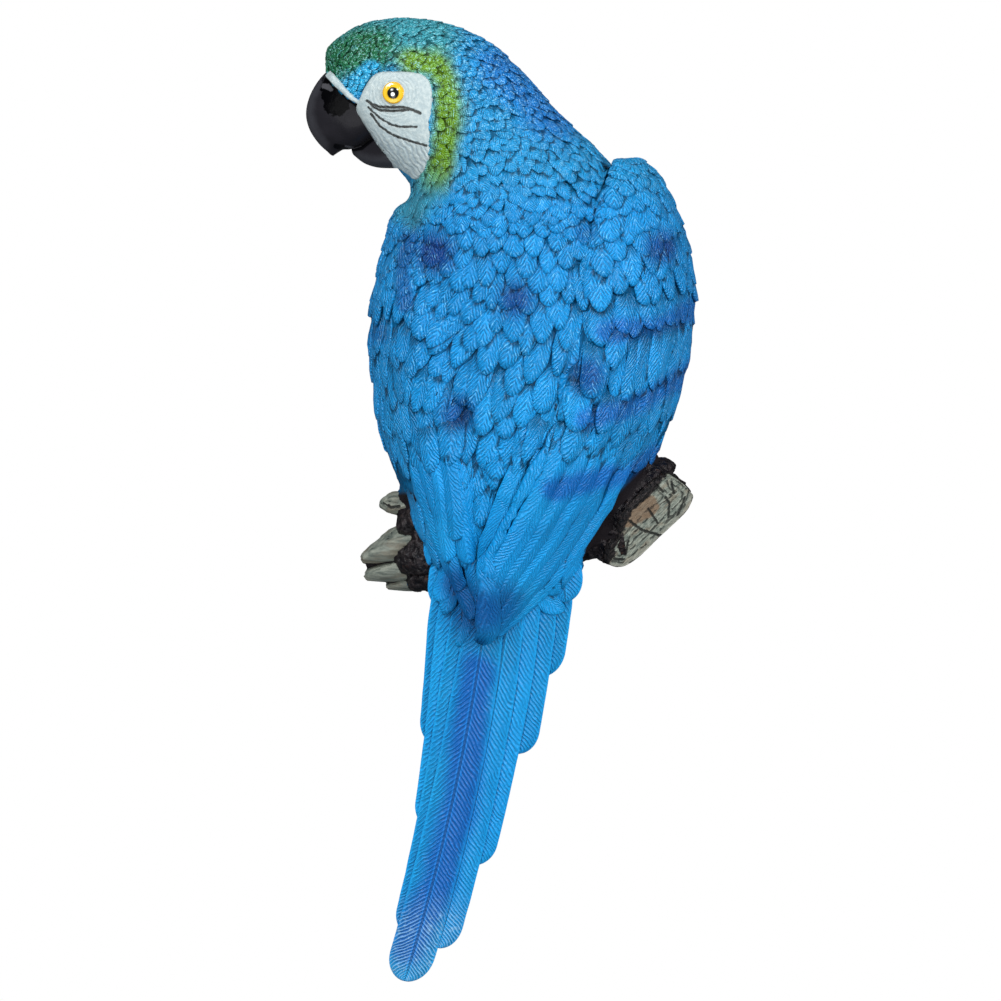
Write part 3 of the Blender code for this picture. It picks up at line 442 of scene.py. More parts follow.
def back_point(across, along):
    """Head, neck and back. Across runs 0 to 1 over the front and on to 2 over the wall side."""
    ox, oz, ix, iz, wall, swell = blend_rows(BACK_ROWS, along)
    side, front = squared(math.pi * across, SECTION_ROUNDING)
    distance = wall + swell * front if front >= 0 else wall * (1 + 1.3 * front)
    x = (ox + ix) / 2 + (ox - ix) / 2 * side
    z = (oz + iz) / 2 + (oz - iz) / 2 * side
    return Vector((x, -max(distance, 0.0), z))


def wing_point(rows, across, along):
    """A wing's outer face. Across runs from 0 at its outer edge to 1 at its inner edge."""
    ox, oz, ix, iz, outer, inner = blend_rows(rows, along)
    angle = math.pi / 2 * across
    inward = 1 - math.cos(angle)
    distance = outer + (inner - outer) * math.sin(angle)
    return Vector((ox + (ix - ox) * inward, -distance, oz + (iz - oz) * inward))


# Meshes and nodes

def add_object(name, mesh):
    obj = bpy.data.objects.new(name, mesh)
    bpy.context.scene.collection.objects.link(obj)
    return obj


def settle(obj):
    """The piece belongs to the one painted casting."""
    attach(obj, "root")
    return obj


def vectors(items, field="co"):
    """A vector of every point or attribute value, one a row."""
    values = np.empty(len(items) * 3)
    items.foreach_get(field, values)
    return values.reshape(-1, 3)


def keep(mesh, name, values, kind="FLOAT"):
    """Keeps a number or a vector at every point of a mesh."""
    field = "vector" if kind == "FLOAT_VECTOR" else "value"
    mesh.attributes.new(name, kind, "POINT").data.foreach_set(field, np.array(values, np.float32).ravel())


def work_over(mesh, job):
    work = bmesh.new()
    work.from_mesh(mesh)
    job(work)
    work.to_mesh(mesh)
    work.free()


def face_outwards(mesh):
    work_over(mesh, lambda work: bmesh.ops.recalc_face_normals(work, faces=work.faces))


def finished(obj, **options):
    """The mesh that an object's modifiers make; the object keeps it and no modifier."""
    graph = bpy.context.evaluated_depsgraph_get()
    mesh = bpy.data.meshes.new_from_object(obj.evaluated_get(graph), depsgraph=graph, **options)
    obj.modifiers.clear()
    obj.data = mesh
    return mesh


def add_node(tree, kind, sockets=(), **settings):
    """A node with its settings, and the values or links of its sockets."""
    node = tree.nodes.new(kind)
    for key, value in settings.items():
        setattr(node, key, value)
    for key, value in dict(sockets).items():
        if isinstance(value, bpy.types.NodeSocket):
            tree.links.new(value, node.inputs[key])
        else:
            node.inputs[key].default_value = value
    return node


# Skin under the feathers

def make_skin():
    """The casting without its feather edges: remeshed, smoothed and drawn in a little."""
    source = frame["nodes"]["parrot_figurine"].data.copy()
    work_over(source, lambda work: bmesh.ops.remove_doubles(work, verts=work.verts, dist=0.00001))
    obj = add_object("body_skin", source)
    remesh = obj.modifiers.new("even", "REMESH")
    remesh.mode = "VOXEL"
    remesh.voxel_size = SKIN_GRAIN * MM
    soften = obj.modifiers.new("soften", "SMOOTH")
    soften.factor = 0.5
    soften.iterations = SKIN_SOFTENING
    mesh = finished(obj)
    spots, normals = vectors(mesh.vertices), vectors(mesh.vertices, "normal")
    near_wall = np.clip((spots[:, 1] / MM + 4.0) / 4.0, 0.0, 1.0)
    spots -= normals * (SKIN_INSET * MM * (1 - near_wall))[:, None]
    off_eye = np.hypot(spots[:, 0] / MM - EYE_HOLLOW[0], spots[:, 2] / MM - EYE_HOLLOW[1])
    on_front = spots[:, 1] < -HEAD_MIDDLE * MM
    spots[:, 1] += np.where(on_front, 3.0 * np.clip((9.5 - off_eye) / 3.5, 0.0, 1.0), 0.0) * MM
    spots[spots[:, 1] > -0.4 * MM, 1] = 0.0
    mesh.vertices.foreach_set("co", spots.ravel())
    keep(mesh, "outward", normals, "FLOAT_VECTOR")
    mesh.materials.clear()
    return obj


class Skin:
    """Answers where the skin is and which way it faces, in millimetres."""

    def __init__(self, obj):
        self.obj = obj
        self.spots = vectors(obj.data.vertices) / MM
        self.normals = vectors(obj.data.attributes["outward"].data, "vector")
        self.faces = [tuple(face.vertices) for face in obj.data.polygons]
        self.tree = BVHTree.FromPolygons(self.spots.tolist(), self.faces)

    def nearest(self, point):
        spot, _, face, distance = self.tree.find_nearest(point)
        corners = list(self.faces[face])
        weights = 1.0 / (np.linalg.norm(self.spots[corners] - np.array(spot), axis=1) + 0.05)
        normal = (self.normals[corners] * weights[:, None]).sum(0)
        return spot, Vector(normal).normalized(), distance

    def from_front(self, x, z):
        return self.tree.ray_cast(Vector((x, -FAR_OUT, z)), INTO_WALL)[0]


# Feather shapes

def sheet(columns, rows, place):
    """A closed thin body: an upper and a lower grid of place(u, v, side), joined round the edge."""
    vertices, faces, uvs = [], [], []
    for side in (1, 0):
        for j in range(rows + 1):
            for i in range(columns + 1):
                u, v = 2 * i / columns - 1, j / rows
                vertices.append(place(u, v, side))
                uvs.append(((u + 1) / 2, v))
    width, half = columns + 1, (columns + 1) * (rows + 1)
    for j in range(rows):
        for i in range(columns):
            a = j * width + i
            faces.append((a, a + 1, a + width + 1, a + width))
            faces.append((half + a, half + a + width, half + a + width + 1, half + a + 1))
    for i in range(columns):
        a, b = i, rows * width + i
        faces.append((a, half + a, half + a + 1, a + 1))
        faces.append((b, b + 1, half + b + 1, half + b))
    for j in range(rows):
        a, b = j * width, j * width + columns
        faces.append((a, a + width, half + a + width, half + a))
        faces.append((b, half + b, half + b + width, b + width))
    return vertices, faces, uvs


def sheet_mesh(name, vertices, faces, uvs):
    mesh = bpy.data.meshes.new(name)
    mesh.from_pydata(vertices, [], faces)
    layer = mesh.uv_layers.new(name="feather")
    loops = np.empty(len(mesh.loops), np.int32)
    mesh.loops.foreach_get("vertex_index", loops)
    layer.data.foreach_set("uv", np.array(uvs, np.float32)[loops].ravel())
    return mesh


def feather_shape(name, across, along, rounding, camber, shaft, thickness, point, skew):
    """One feather, one long and one wide, root at -SEAT; rise is its height over the skin.
    across and along hold the places of its grid lines; the outermost drop to the feather's edge."""
    vertices, faces, marks, rises, spots = [], [], [], [], []
    for v in along:
        half = 0.5 * (0.72 + 0.28 * smooth_step(2.4 * v))
        for u in across:
            off = abs(u - skew * (1 - u * u))
            bow = (1 - point) * (1 - math.sqrt(max(0.0, 1 - 0.985 * off * off))) + point * off**1.4
            tip = 1 - rounding * bow - 0.03 * noise.noise(Vector((u * 3.0, rounding * 90, 0.0)))
            rise = -0.5 + 1.5 * smooth_step(0.12 + 0.88 * v) - camber * u * u
            rise += shaft * math.exp(-((u / 0.12) ** 2)) * (1 - 0.5 * v)
            if abs(u) == 1 or v in (0.0, 1.0):
                rise -= thickness
            vertices.append((u * half, v * tip - SEAT, rise))
            marks.append(((u + 1) / 2, v))
            spots.append((u * half, v * tip, 0.0))
            rises.append(rise)
    columns, rows = len(across), len(along)
    for j in range(rows - 1):
        for i in range(columns - 1):
            a = j * columns + i
            faces.append((a, a + 1, a + columns + 1, a + columns))
    vertices.append((0.0, 0.55 - SEAT, -0.9))
    marks.append((0.5, 0.5))
    spots.append((0.0, 0.5, 0.0))
    rises.append(-0.9)
    rim = list(range(columns)) + [j * columns + columns - 1 for j in range(1, rows)]
    rim += [(rows - 1) * columns + i for i in range(columns - 2, -1, -1)]
    rim += [j * columns for j in range(rows - 2, 0, -1)]
    faces += [(b, a, len(vertices) - 1) for a, b in zip(rim, rim[1:] + rim[:1])]
    mesh = sheet_mesh(name, vertices, faces, marks)
    keep(mesh, "rise", rises)
    keep(mesh, "spot", spots, "FLOAT_VECTOR")
    return mesh


def feather_kinds(name, across, along, kinds):
    """Feather shapes to copy, kept apart from the scene."""
    shelf = bpy.data.collections.new(name)
    for index, kind in enumerate(kinds):
        mesh = feather_shape(name, across, along, *kind)
        shelf.objects.link(bpy.data.objects.new(f"{name}_{index}", mesh))
    return shelf


def laying_tree():
    """Puts one of several feathers on every seed and lays it over the skin."""
    tree = bpy.data.node_groups.new("lay feathers on the skin", "GeometryNodeTree")
    inputs = {"Seeds": "Geometry", "Skin": "Object", "Shapes": "Collection", "Paint": "Material"}
    for name, kind in inputs.items():
        tree.interface.new_socket(name, in_out="INPUT", socket_type="NodeSocket" + kind)
    tree.interface.new_socket("Feathers", in_out="OUTPUT", socket_type="NodeSocketGeometry")
    given = add_node(tree, "NodeGroupInput").outputs

    def node(kind, sockets, out=0, **settings):
        return add_node(tree, kind, sockets, **settings).outputs[out]

    def kept(name, kind="FLOAT_VECTOR"):
        return node("GeometryNodeInputNamedAttribute", {"Name": name}, "Attribute", data_type=kind)

    skin = node("GeometryNodeObjectInfo", {"Object": given["Skin"]}, "Geometry")
    shelf = {"Collection": given["Shapes"], "Separate Children": True, "Reset Children": True}
    facing = {"Primary Axis": kept("up"), "Secondary Axis": kept("flow")}
    placing = {
        "Points": given["Seeds"],
        "Instance": node("GeometryNodeCollectionInfo", shelf),
        "Pick Instance": True,
        "Instance Index": kept("kind", "INT"),
        "Rotation": node("FunctionNodeAxesToRotation", facing, primary_axis="Z", secondary_axis="Y"),
        "Scale": kept("size"),
    }
    feathers = node("GeometryNodeRealizeInstances", {0: node("GeometryNodeInstanceOnPoints", placing)})
    tallness = node("ShaderNodeSeparateXYZ", {0: kept("size")}, "Z")
    height = node("ShaderNodeMath", {0: kept("rise", "FLOAT"), 1: tallness}, operation="MULTIPLY")
    lift = node("ShaderNodeMath", {0: height, 1: kept("lift", "FLOAT")}, operation="ADD")
    up = node("ShaderNodeVectorMath", {0: kept("up"), "Scale": height}, operation="SCALE")
    position = node("GeometryNodeInputPosition", {})
    foot = node("ShaderNodeVectorMath", {0: position, 1: up}, operation="SUBTRACT")

    def on_skin(value):
        sockets = {"Mesh": skin, "Value": value, "Sample Position": foot}
        return node("GeometryNodeSampleNearestSurface", sockets, "Value", data_type="FLOAT_VECTOR")

    outward = node("ShaderNodeVectorMath", {0: on_skin(kept("outward"))}, operation="NORMALIZE")
    raised = node("ShaderNodeVectorMath", {0: outward, "Scale": lift}, operation="SCALE")
    final = node("ShaderNodeVectorMath", {0: on_skin(position), 1: raised}, operation="ADD")
    laid = node("GeometryNodeSetPosition", {"Geometry": feathers, "Position": final})
    painted = node("GeometryNodeSetMaterial", {"Geometry": laid, "Material": given["Paint"]})
    add_node(tree, "NodeGroupOutput", {0: painted})
    return tree


def lay_feathers(name, seeds, skin, shapes, paint, tree):
    """seeds: (spot, up, flow, width, length, height, lift, kind) in millimetres."""
    mesh = bpy.data.meshes.new(name)
    mesh.from_pydata([seed[0] * MM for seed in seeds], [], [])
    keep(mesh, "up", [seed[1] for seed in seeds], "FLOAT_VECTOR")
    keep(mesh, "flow", [seed[2] for seed in seeds], "FLOAT_VECTOR")
    keep(mesh, "size", [[s * MM for s in seed[3:6]] for seed in seeds], "FLOAT_VECTOR")
    keep(mesh, "lift", [seed[6] * MM for seed in seeds])
    keep(mesh, "tone", [RNG.random() for _ in seeds])
    mesh.attributes.new("kind", "INT", "POINT").data.foreach_set("value", [seed[7] for seed in seeds])
    obj = add_object(name, mesh)
    modifier = obj.modifiers.new("lay", "NODES")
    modifier.node_group = tree
    given = {item.name: item.identifier for item in tree.interface.items_tree if item.in_out == "INPUT"}
    modifier[given["Skin"]] = skin.obj
    modifier[given["Shapes"]] = shapes
    modifier[given["Paint"]] = paint
    finished(obj, preserve_all_data_layers=True).shade_smooth()
    return settle(obj)


# Where the feathers grow

def lie_of(spot):
    """The downstream direction at a spot, from the nearby directions noted on the drawing."""
    total = lean = 0.0
    for x, y, degrees in FEATHER_LIE:
        px, pz = at(x, y)
        weight = 1.0 / ((spot.x - px) ** 2 + (spot.z - pz) ** 2 + 9.0) ** 1.5
        total += weight
        lean += weight * degrees
    angle = math.radians(lean / total)
    return Vector((-math.sin(angle), 0.0, -math.cos(angle)))


def downstream(point, across, along):
    return (point(across, along + 0.05) - point(across, along - 0.05)).normalized()


def inside(x, z, outline):
    hit = False
    for (ax, az), (bx, bz) in zip(outline, outline[1:] + outline[:1]):
        if (az > z) != (bz > z) and x < (bx - ax) * (z - az) / (bz - az) + ax:
            hit = not hit
    return hit


def seed_at(skin, spot, flow, width, length, height, lift, lean, kinds=4):
    """A seed for a feather whose tip is at a spot; none where the skin is far away or at the wall."""
    foot, up, away = skin.nearest(spot)
    if away > 3.0 or foot.y > -0.6 - 0.35 * width:
        return None
    flow = (flow or lie_of(foot)).copy()
    flow = (flow - up * flow.dot(up)).normalized()
    flow = (flow + up.cross(flow) * RNG.uniform(-lean, lean)).normalized()
    seat, seat_up, _ = skin.nearest(foot - flow * length * (1 - SEAT))
    flow = (flow - seat_up * flow.dot(seat_up)).normalized()
    return seat, seat_up, flow, width, length, height, lift, RNG.randrange(kinds)


def crowd(skin, point, span, reach, rows, shape, drawn_lie, lean, sag=None):
    """Feathers strewn as close as they may lie. shape(spot, along) gives width, length, shown
    length, height and lift, or nothing where the place stays bare."""
    seeds, cells = [], {}
    places = [
        (
            span[0] + (span[1] - span[0]) * (k + RNG.random()) / STREWN_COLUMNS,
            reach[0] + (reach[1] - reach[0]) * (j + RNG.random()) / rows,
        )
        for j in range(rows) for k in range(STREWN_COLUMNS)
    ]
    RNG.shuffle(places)
    for across, along in places:
        here = along + (sag(across, along) if sag else 0.0)
        spot = point(across, here)
        form = shape(spot, along)
        if not form:
            continue
        width, length, shown, height, lift = form
        key = tuple(round(c / NEIGHBOURHOOD) for c in spot)
        near = [
            item
            for dx in (-1, 0, 1) for dy in (-1, 0, 1) for dz in (-1, 0, 1)
            for item in cells.get((key[0] + dx, key[1] + dy, key[2] + dz), ())
        ]
        flow = downstream(point, across, here)
        if any(
            ((spot - other).dot(flow) / shown) ** 2
            + ((spot - other).length_squared - (spot - other).dot(flow) ** 2) / (CLEAR_ASIDE * width) ** 2 < 1
            for other in near
        ):
            continue
        size = RNG.uniform(0.88, 1.15)
        seed = seed_at(
            skin, spot, None if drawn_lie else flow, width * size * OVERLAP, length * RNG.uniform(0.92, 1.12),
            height, lift + RNG.uniform(0.0, 0.35), lean,
        )
        cells.setdefault(key, []).append(spot)
        if seed:
            seeds.append(seed)
    return seeds


def neat_row(skin, point, row, span, width, length, stray):
    """One row of feathers side by side; row gives along at their tips, stray how far they leave it."""
    seeds = []
    steps = 200
    walked, due = 0.0, 0.3 * width
    shares = [span[0] + (span[1] - span[0]) * k / steps for k in range(steps + 1)]
    spots = [point(share, row(share)) for share in shares]
    for k in range(1, steps + 1):
        walked += (spots[k] - spots[k - 1]).length
        if walked < due:
            continue
        due += width * RNG.uniform(0.78, 0.92)
        flow = downstream(point, shares[k], row(shares[k]))
        spot = spots[k] + flow * RNG.uniform(-stray, stray)
        lift = ROW_LIFT + RNG.uniform(0, 0.3)
        seeds.append(seed_at(skin, spot, None, width * ROW_OVERLAP, length, ROW_HEIGHT, lift, 0.1))
    return [seed for seed in seeds if seed]


def nape_sag(across, along):
    """The neck's lower edge hangs in a bow over the back."""
    bow = math.sin(math.pi * min(max(across, 0.0), 1.0))
    share = (max(along, 0.0) / NECK_END) ** 2 if along < NECK_END else max(0.0, 1 - (along - NECK_END) / 5)
    return 1.25 * bow * share


def head_seeds(skin):
    def shape(spot, along):
        if inside(spot.x, spot.z, BARE_OF_FEATHERS):
            return None
        grown = smooth_step((along - 1.0) / 9.0)
        width = 2.0 + 2.4 * grown
        return width, width * 2.1, width * 0.8, 0.42 + 0.3 * grown, 0.5 * smooth_step((along - 9.0) / 1.4)

    return crowd(
        skin, back_point, span=(-0.3, 1.3), reach=HEAD_REACH, rows=240, shape=shape, drawn_lie=False, lean=0.35,
        sag=nape_sag,
    )


def mantle_seeds(skin):
    def shape(spot, along):
        if spot.z < 22.0 and not -22.0 < spot.x < 30.0 + 0.9 * (spot.z - 22.0):
            return None
        grown = min(max(along - NECK_END, 0.0) / 4, 1.0)
        shown = 4.6 + 6.2 * grown
        return 5.2 + 1.6 * grown, 2.3 * shown + 1, shown, 1.0 + 0.35 * grown, 0.2

    seeds = crowd(
        skin, back_point, span=(-0.2, 1.2), reach=MANTLE_REACH, rows=80, shape=shape, drawn_lie=True, lean=0.16,
        sag=nape_sag,
    )
    for tip, width, length, lift in SHOULDER_BORDER:
        foot = skin.from_front(*at(*tip))
        seeds.append(seed_at(skin, foot, None, width, length, height=1.5, lift=lift, lean=0.05, kinds=3))
    return [seed for seed in seeds if seed]


def tail_covert_seeds(skin):
    seeds = []
    for root, tip, width, lift in TAIL_COVERTS:
        (ax, az), (bx, bz) = at(*root), at(*tip)
        foot = skin.from_front(bx, bz) or skin.nearest(Vector((bx, -38.0, bz)))[0]
        flow = Vector((bx - ax, 0.0, bz - az))
        seeds.append(seed_at(skin, foot, flow, width, flow.length, height=1.0, lift=lift, lean=0.02, kinds=3))
    return [seed for seed in seeds if seed]


def wing_seeds(skin, table, reach, first, last, rows):
    def point(across, along):
        return wing_point(table, across, along)

    def shape(spot, along):
        grown = smooth_step((along - reach[0]) / (reach[1] - reach[0]))
        width = first + (last - first) * grown
        shown = width * (1.0 + 0.5 * grown)
        return width, 2.3 * shown, shown, 1.0 + 0.2 * grown, 0.3

    seeds = crowd(skin, point, span=(-0.24, 1.02), reach=reach, rows=60, shape=shape, drawn_lie=True, lean=0.14)
    for along, skew, span, width, length, stray in rows:
        seeds += neat_row(skin, point, lambda across: along + skew * across, span, width, length, stray)
    return seeds


# Long feathers

def long_feather(skin, points, width, lift):
    """A flight feather laid over the skin along a curve of drawing points, root first."""
    columns, rows = 14, 46
    line = [at(*p) for p in points]
    length = sum(math.dist(a, b) for a, b in zip(line, line[1:]))
    centre, sides, ups = [], [], []
    for j in range(rows + 1):
        x, z = curve_of(line, j / rows)
        ahead = heading(line, j / rows)
        foot, up, _ = skin.nearest(skin.from_front(x, z) or Vector((x, -28.0, z)))
        flow = Vector((ahead.x, 0.0, ahead.y))
        flow = (flow - up * flow.dot(up)).normalized()
        centre.append(Vector((x, foot.y, z)))
        sides.append(flow.cross(up))
        ups.append(up)
    grid = {}

    def place(u, v, side):
        j = round(v * rows)
        key = (round(u * 1000), j)
        if key not in grid:
            tip = max(0.0, 1 - (1 - v) * length / (0.55 * width))
            half = width / 2 * (0.8 + 0.2 * smooth_step(2.5 * v)) * math.sqrt(max(0.0, 1 - 0.9 * tip * tip))
            foot, up, _ = skin.nearest(centre[j] + sides[j] * (u * half))
            grid[key] = (foot, (up + ups[j]).normalized())
        foot, up = grid[key]
        rise = 0.25 + 0.6 * v + 0.85 * (1 - abs(u) ** 3) + 0.3 * math.exp(-((u / 0.08) ** 2))
        rise -= 3.2 * smooth_step((0.34 - v) / 0.3) * (1 + 0.4 * lift)
        if not side:
            rise -= 0.7 + 1.6 * (1 - v)
        return foot + up * (rise + lift)

    return sheet(columns, rows, place)


def join_sheets(name, parts, paint, sizes):
    """Several sheets as one mesh, with each one's tone and size kept for its paint."""
    vertices, faces, uvs, tones, spans = [], [], [], [], []
    for (points, quads, marks), size in zip(parts, sizes):
        start = len(vertices)
        vertices += [tuple(p * MM for p in point) for point in points]
        faces += [tuple(start + k for k in quad) for quad in quads]
        uvs += marks
        tones += [RNG.random()] * len(points)
        spans += [[s * MM for s in size]] * len(points)
    mesh = sheet_mesh(name, vertices, faces, uvs)
    face_outwards(mesh)
    keep(mesh, "tone", tones)
    keep(mesh, "size", spans, "FLOAT_VECTOR")
    keep(mesh, "spot", [(u - 0.5, v, 0.0) for u, v in uvs], "FLOAT_VECTOR")
    mesh.materials.append(paint)
    mesh.shade_smooth()
    return settle(add_object(name, mesh))


def mark_creases(pieces):
    """Keeps at every point the share of its outlook that nearby feathers block: the plumage is darkened there
    as painted shade.
    """
    reach, looks = 3.2, [(0.0, 0.0)] + [(0.9, math.tau * k / 6) for k in range(6)]
    spots, faces, held = [], [], []
    for obj in pieces:
        start = len(spots)
        place, normal = vectors(obj.data.vertices) / MM, vectors(obj.data.vertices, "normal")
        held.append((obj.data, place, normal))
        spots += place.tolist()
        faces += [tuple(start + k for k in face.vertices) for face in obj.data.polygons]
    tree = BVHTree.FromPolygons(spots, faces)
    for mesh, place, normal in held:
        aside = np.cross(normal, (0.13, 0.97, 0.21))
        aside /= np.linalg.norm(aside, axis=1)[:, None] + 1e-9
        along = np.cross(normal, aside)
        blocked = np.zeros(len(place))
        start = (place + normal * 0.15).tolist()
        for tilt, angle in looks:
            sideways = (aside * math.cos(angle) + along * math.sin(angle)) * math.sin(tilt)
            ahead = (normal * math.cos(tilt) + sideways).tolist()
            hits = [tree.ray_cast(a, b, reach)[3] for a, b in zip(start, ahead)]
            blocked += [0.0 if hit is None else 1.0 - hit / reach for hit in hits]
        keep(mesh, "crease_shade", blocked / len(looks))


def tail_front(z):
    """Distance from the wall to the front of the tail at a height."""
    share = (z - TAIL_TIP_Z) / (TAIL_ROOT_Z - TAIL_TIP_Z)
    return TAIL_TIP_FRONT + TAIL_SWELL * min(max(share, 0.0), 1.0) ** 1.25


def tail_feather(root_x, root_z, tip_x, tip_z, width, layer):
    root = Vector((root_x, root_z))
    run = Vector((tip_x, tip_z)) - root
    length = run.length
    side = Vector((-run.y, run.x)).normalized()
    bend = 3.0 * (length / 134.0) ** 2

    def place(u, v, on_front):
        share = 1 - (1 - v) ** 1.25
        centre = root + run * share + side * bend * 4 * share * (1 - share)
        to_tip = (1 - share) * length
        tip_round = math.sqrt(max(0.0, 1 - max(0.0, 1 - to_tip / (0.62 * width)) ** 2 * 0.97))
        half = width / 2 * (0.8 + 0.2 * smooth_step(3 * share)) * tip_round
        ragged = 1 + 0.02 * noise.noise(Vector((u * 2, share * length / 6, layer + root_x)))
        spot = centre + side * (half * u * ragged)
        shaft = 0.5 * math.exp(-((u / 0.06) ** 2)) * min(1.0, to_tip / 12 + 0.15)
        ripple = 0.25 * noise.noise(Vector((u * 1.5, share * length / 14, root_x)))
        rise = 0.45 + 1.25 * (1 - abs(u) ** 3.0) + shaft + ripple if on_front else -TAIL_FEATHER_DEPTH
        front = tail_front(centre.y) - layer * TAIL_LAYER_STEP
        return Vector((spot.x, -(front + rise), spot.y))

    return sheet(16, max(24, int(length / 1.3)), place)


# Solid pieces of beak, face, eye and log

def loft(name, rings, paint):
    """A closed body over rings of equally many points, each end filled by a fan."""
    count = len(rings[0])
    vertices = [point for ring in rings for point in ring]
    faces = []
    for row in range(len(rings) - 1):
        for k in range(count):
            a, b = row * count + k, row * count + (k + 1) % count
            faces.append((a, b, b + count, a + count))
    for row in (0, len(rings) - 1):
        vertices.append(sum(rings[row], Vector()) / count)
        for k in range(count):
            faces.append((row * count + k, row * count + (k + 1) % count, len(vertices) - 1))
    mesh = bpy.data.meshes.new(name)
    mesh.from_pydata([tuple(p * MM for p in point) for point in vertices], [], faces)
    face_outwards(mesh)
    mesh.materials.append(paint)
    mesh.shade_smooth()
    return settle(add_object(name, mesh))


def round_off(points, count):
    """Evenly many points along a smooth closed curve through the given ones."""
    closed = [*points[-1:], *points, *points[:2]]
    return [Vector(blend_rows(closed, 1 + len(points) * k / count)) for k in range(count)]


def beak_part(name, rows, paint):
    rings = []
    steps, facets = 36, 56
    for j in range(steps + 1):
        share = j / steps
        ox, oz, ix, iz, half = blend_rows(rows, share * (len(rows) - 1))
        power = 2 / (2 + 3.0 * (1 - share) ** 2)
        ring = []
        for k in range(facets):
            cos, sin = squared(math.tau * k / facets, power)
            x = (ox + ix) / 2 + (ox - ix) / 2 * cos
            z = (oz + iz) / 2 + (oz - iz) / 2 * cos
            spot = Vector((x, -HEAD_MIDDLE + half * sin, z))
            ring.append(spot + spot.normalized() * 0.12 * rough(spot, 5.0))
        rings.append(ring)
    last = rings[-1]
    tip = sum(last, Vector()) / facets
    for shrink, reach in ((0.85, 0.25), (0.5, 0.5), (0.15, 0.6)):
        ahead = (tip - sum(rings[-5], Vector()) / facets).normalized()
        rings.append([tip + (spot - tip) * shrink + ahead * reach for spot in last])
    return loft(name, rings, paint)


class HeadForm:
    """The plain head under its feathers: its distance from the wall at (x, z)."""

    def __init__(self):
        facets, places = 60, 90
        spots = [
            back_point(k / facets, 10.0 * row / places)
            for row in range(places + 1) for k in range(facets + 1)
        ]
        width = facets + 1
        quads = [
            (row * width + k, row * width + k + 1, (row + 1) * width + k + 1, (row + 1) * width + k)
            for row in range(places) for k in range(facets)
        ]
        self.tree = BVHTree.FromPolygons([tuple(spot) for spot in spots], quads)
        self.middle = Vector((-20.0, -HEAD_MIDDLE, 125.0))

    def seat(self, x, z):
        """The spot on the head at (x, z) as seen from the front, and which way it faces."""
        spot, normal, _, _ = self.tree.ray_cast(Vector((x, -FAR_OUT, z)), INTO_WALL)
        if not spot:
            spot, normal, _, _ = self.tree.find_nearest(Vector((x, -HEAD_MIDDLE - 4.0, z)))
        return spot, normal if normal.dot(spot - self.middle) > 0 else -normal


def plate(name, outline, head, proud, wrinkle, paint):
    """Bare skin: a sheet that follows the head with a rolled edge."""
    edge = round_off(outline, 144)
    middle = sum(edge, Vector((0.0, 0.0))) / len(edge)
    rings = [[(middle + (spot - middle) * scale, rise) for spot in edge] for scale, rise in PLATE_EDGE]
    for scale in PLATE_RINGS:
        rings.append([(middle + (spot - middle) * scale, proud * (1 - scale**38)) for spot in edge])
    solid = []
    for ring in rings:
        row = []
        for spot, rise in ring:
            foot, out = head.seat(spot.x, spot.y)
            slanted = Vector((spot.x * 0.9 + spot.y * 0.5, spot.y * 0.4 - spot.x * 0.2, 3.0))
            row.append(foot + out * (rise + wrinkle * noise.noise(slanted) * (rise > 0)))
        solid.append(row)
    return loft(name, solid, paint)


def bead(name, points, radius, skin, paint):
    """A soft roll laid on the skin along points of the drawing."""
    line = [at(*p) for p in points]
    out = Vector((0.0, -1.0, 0.0))
    rings = []
    for j in range(49):
        t = j / 48
        x, z = curve_of(line, t)
        ahead = heading(line, t)
        hit = skin.from_front(x, z) or skin.nearest(Vector((x, -HEAD_MIDDLE - 6.0, z)))[0]
        side = Vector((ahead.x, 0.0, ahead.y)).normalized().cross(out)
        here = radius * math.sin(math.pi * (0.08 + 0.84 * t)) ** 0.4 * (1.25 - 0.6 * smooth_step(1.25 * t))
        here *= 1 + 0.14 * noise.noise(Vector((t * 9.0, 0.0, 3.0)))
        ring = []
        for cos, sin in round_about(20):
            spot = hit + side * (here * cos) + out * (here * 0.9 * sin + 0.5)
            ring.append(spot + out * 0.35 * rough(spot, 1.6, 7.0))
        rings.append(ring)
    return loft(name, rings, paint)


def turned(name, profile, centre, facing, paint):
    """A body of rings (radius, height) about an axis."""
    up = facing.cross(Vector((0.0, 0.0, 1.0))).normalized()
    side = facing.cross(up)
    rings = [
        [centre + facing * height + (up * cos + side * sin) * radius for cos, sin in round_about(64)]
        for radius, height in profile
    ]
    return loft(name, rings, paint)


def sawn_end(name, set_back, spread, depth, roughness, paint):
    centre, axis = Vector(SAWN_END_CENTRE), Vector(SAWN_END_NORMAL).normalized()
    outline = []
    for x, z in round_off(SAWN_END_OUTLINE, 160):
        y = centre.y - (axis.x * (x - centre.x) + axis.z * (z - centre.z)) / axis.y
        outline.append(centre + (Vector((x, y, z)) - centre) * spread)
    rings = []
    for back in [depth * k / 22 for k in range(22, -1, -1)]:
        row = []
        for spot in outline:
            out = (spot - centre).normalized()
            place = spot - axis * (back + set_back)
            lump = roughness * (rough(place, 3.2) + 0.5 * rough(place, 1.4, 5.0))
            place += out * (lump - 0.25 * (back == 0))
            place.y = min(place.y, -WALL_CLEARANCE)
            row.append(place)
        rings.append(row)
    for scale in SAWN_END_RINGS:
        row = []
        for spot in outline:
            place = centre + (spot - centre) * scale - axis * set_back
            ripple = 0.16 * math.sin(scale * 26) + 0.3 * rough(place, 5.0, 2.0)
            row.append(place + axis * (ripple * (1 - scale**6) - 0.15))
        rings.append(row)
    return loft(name, rings, paint)


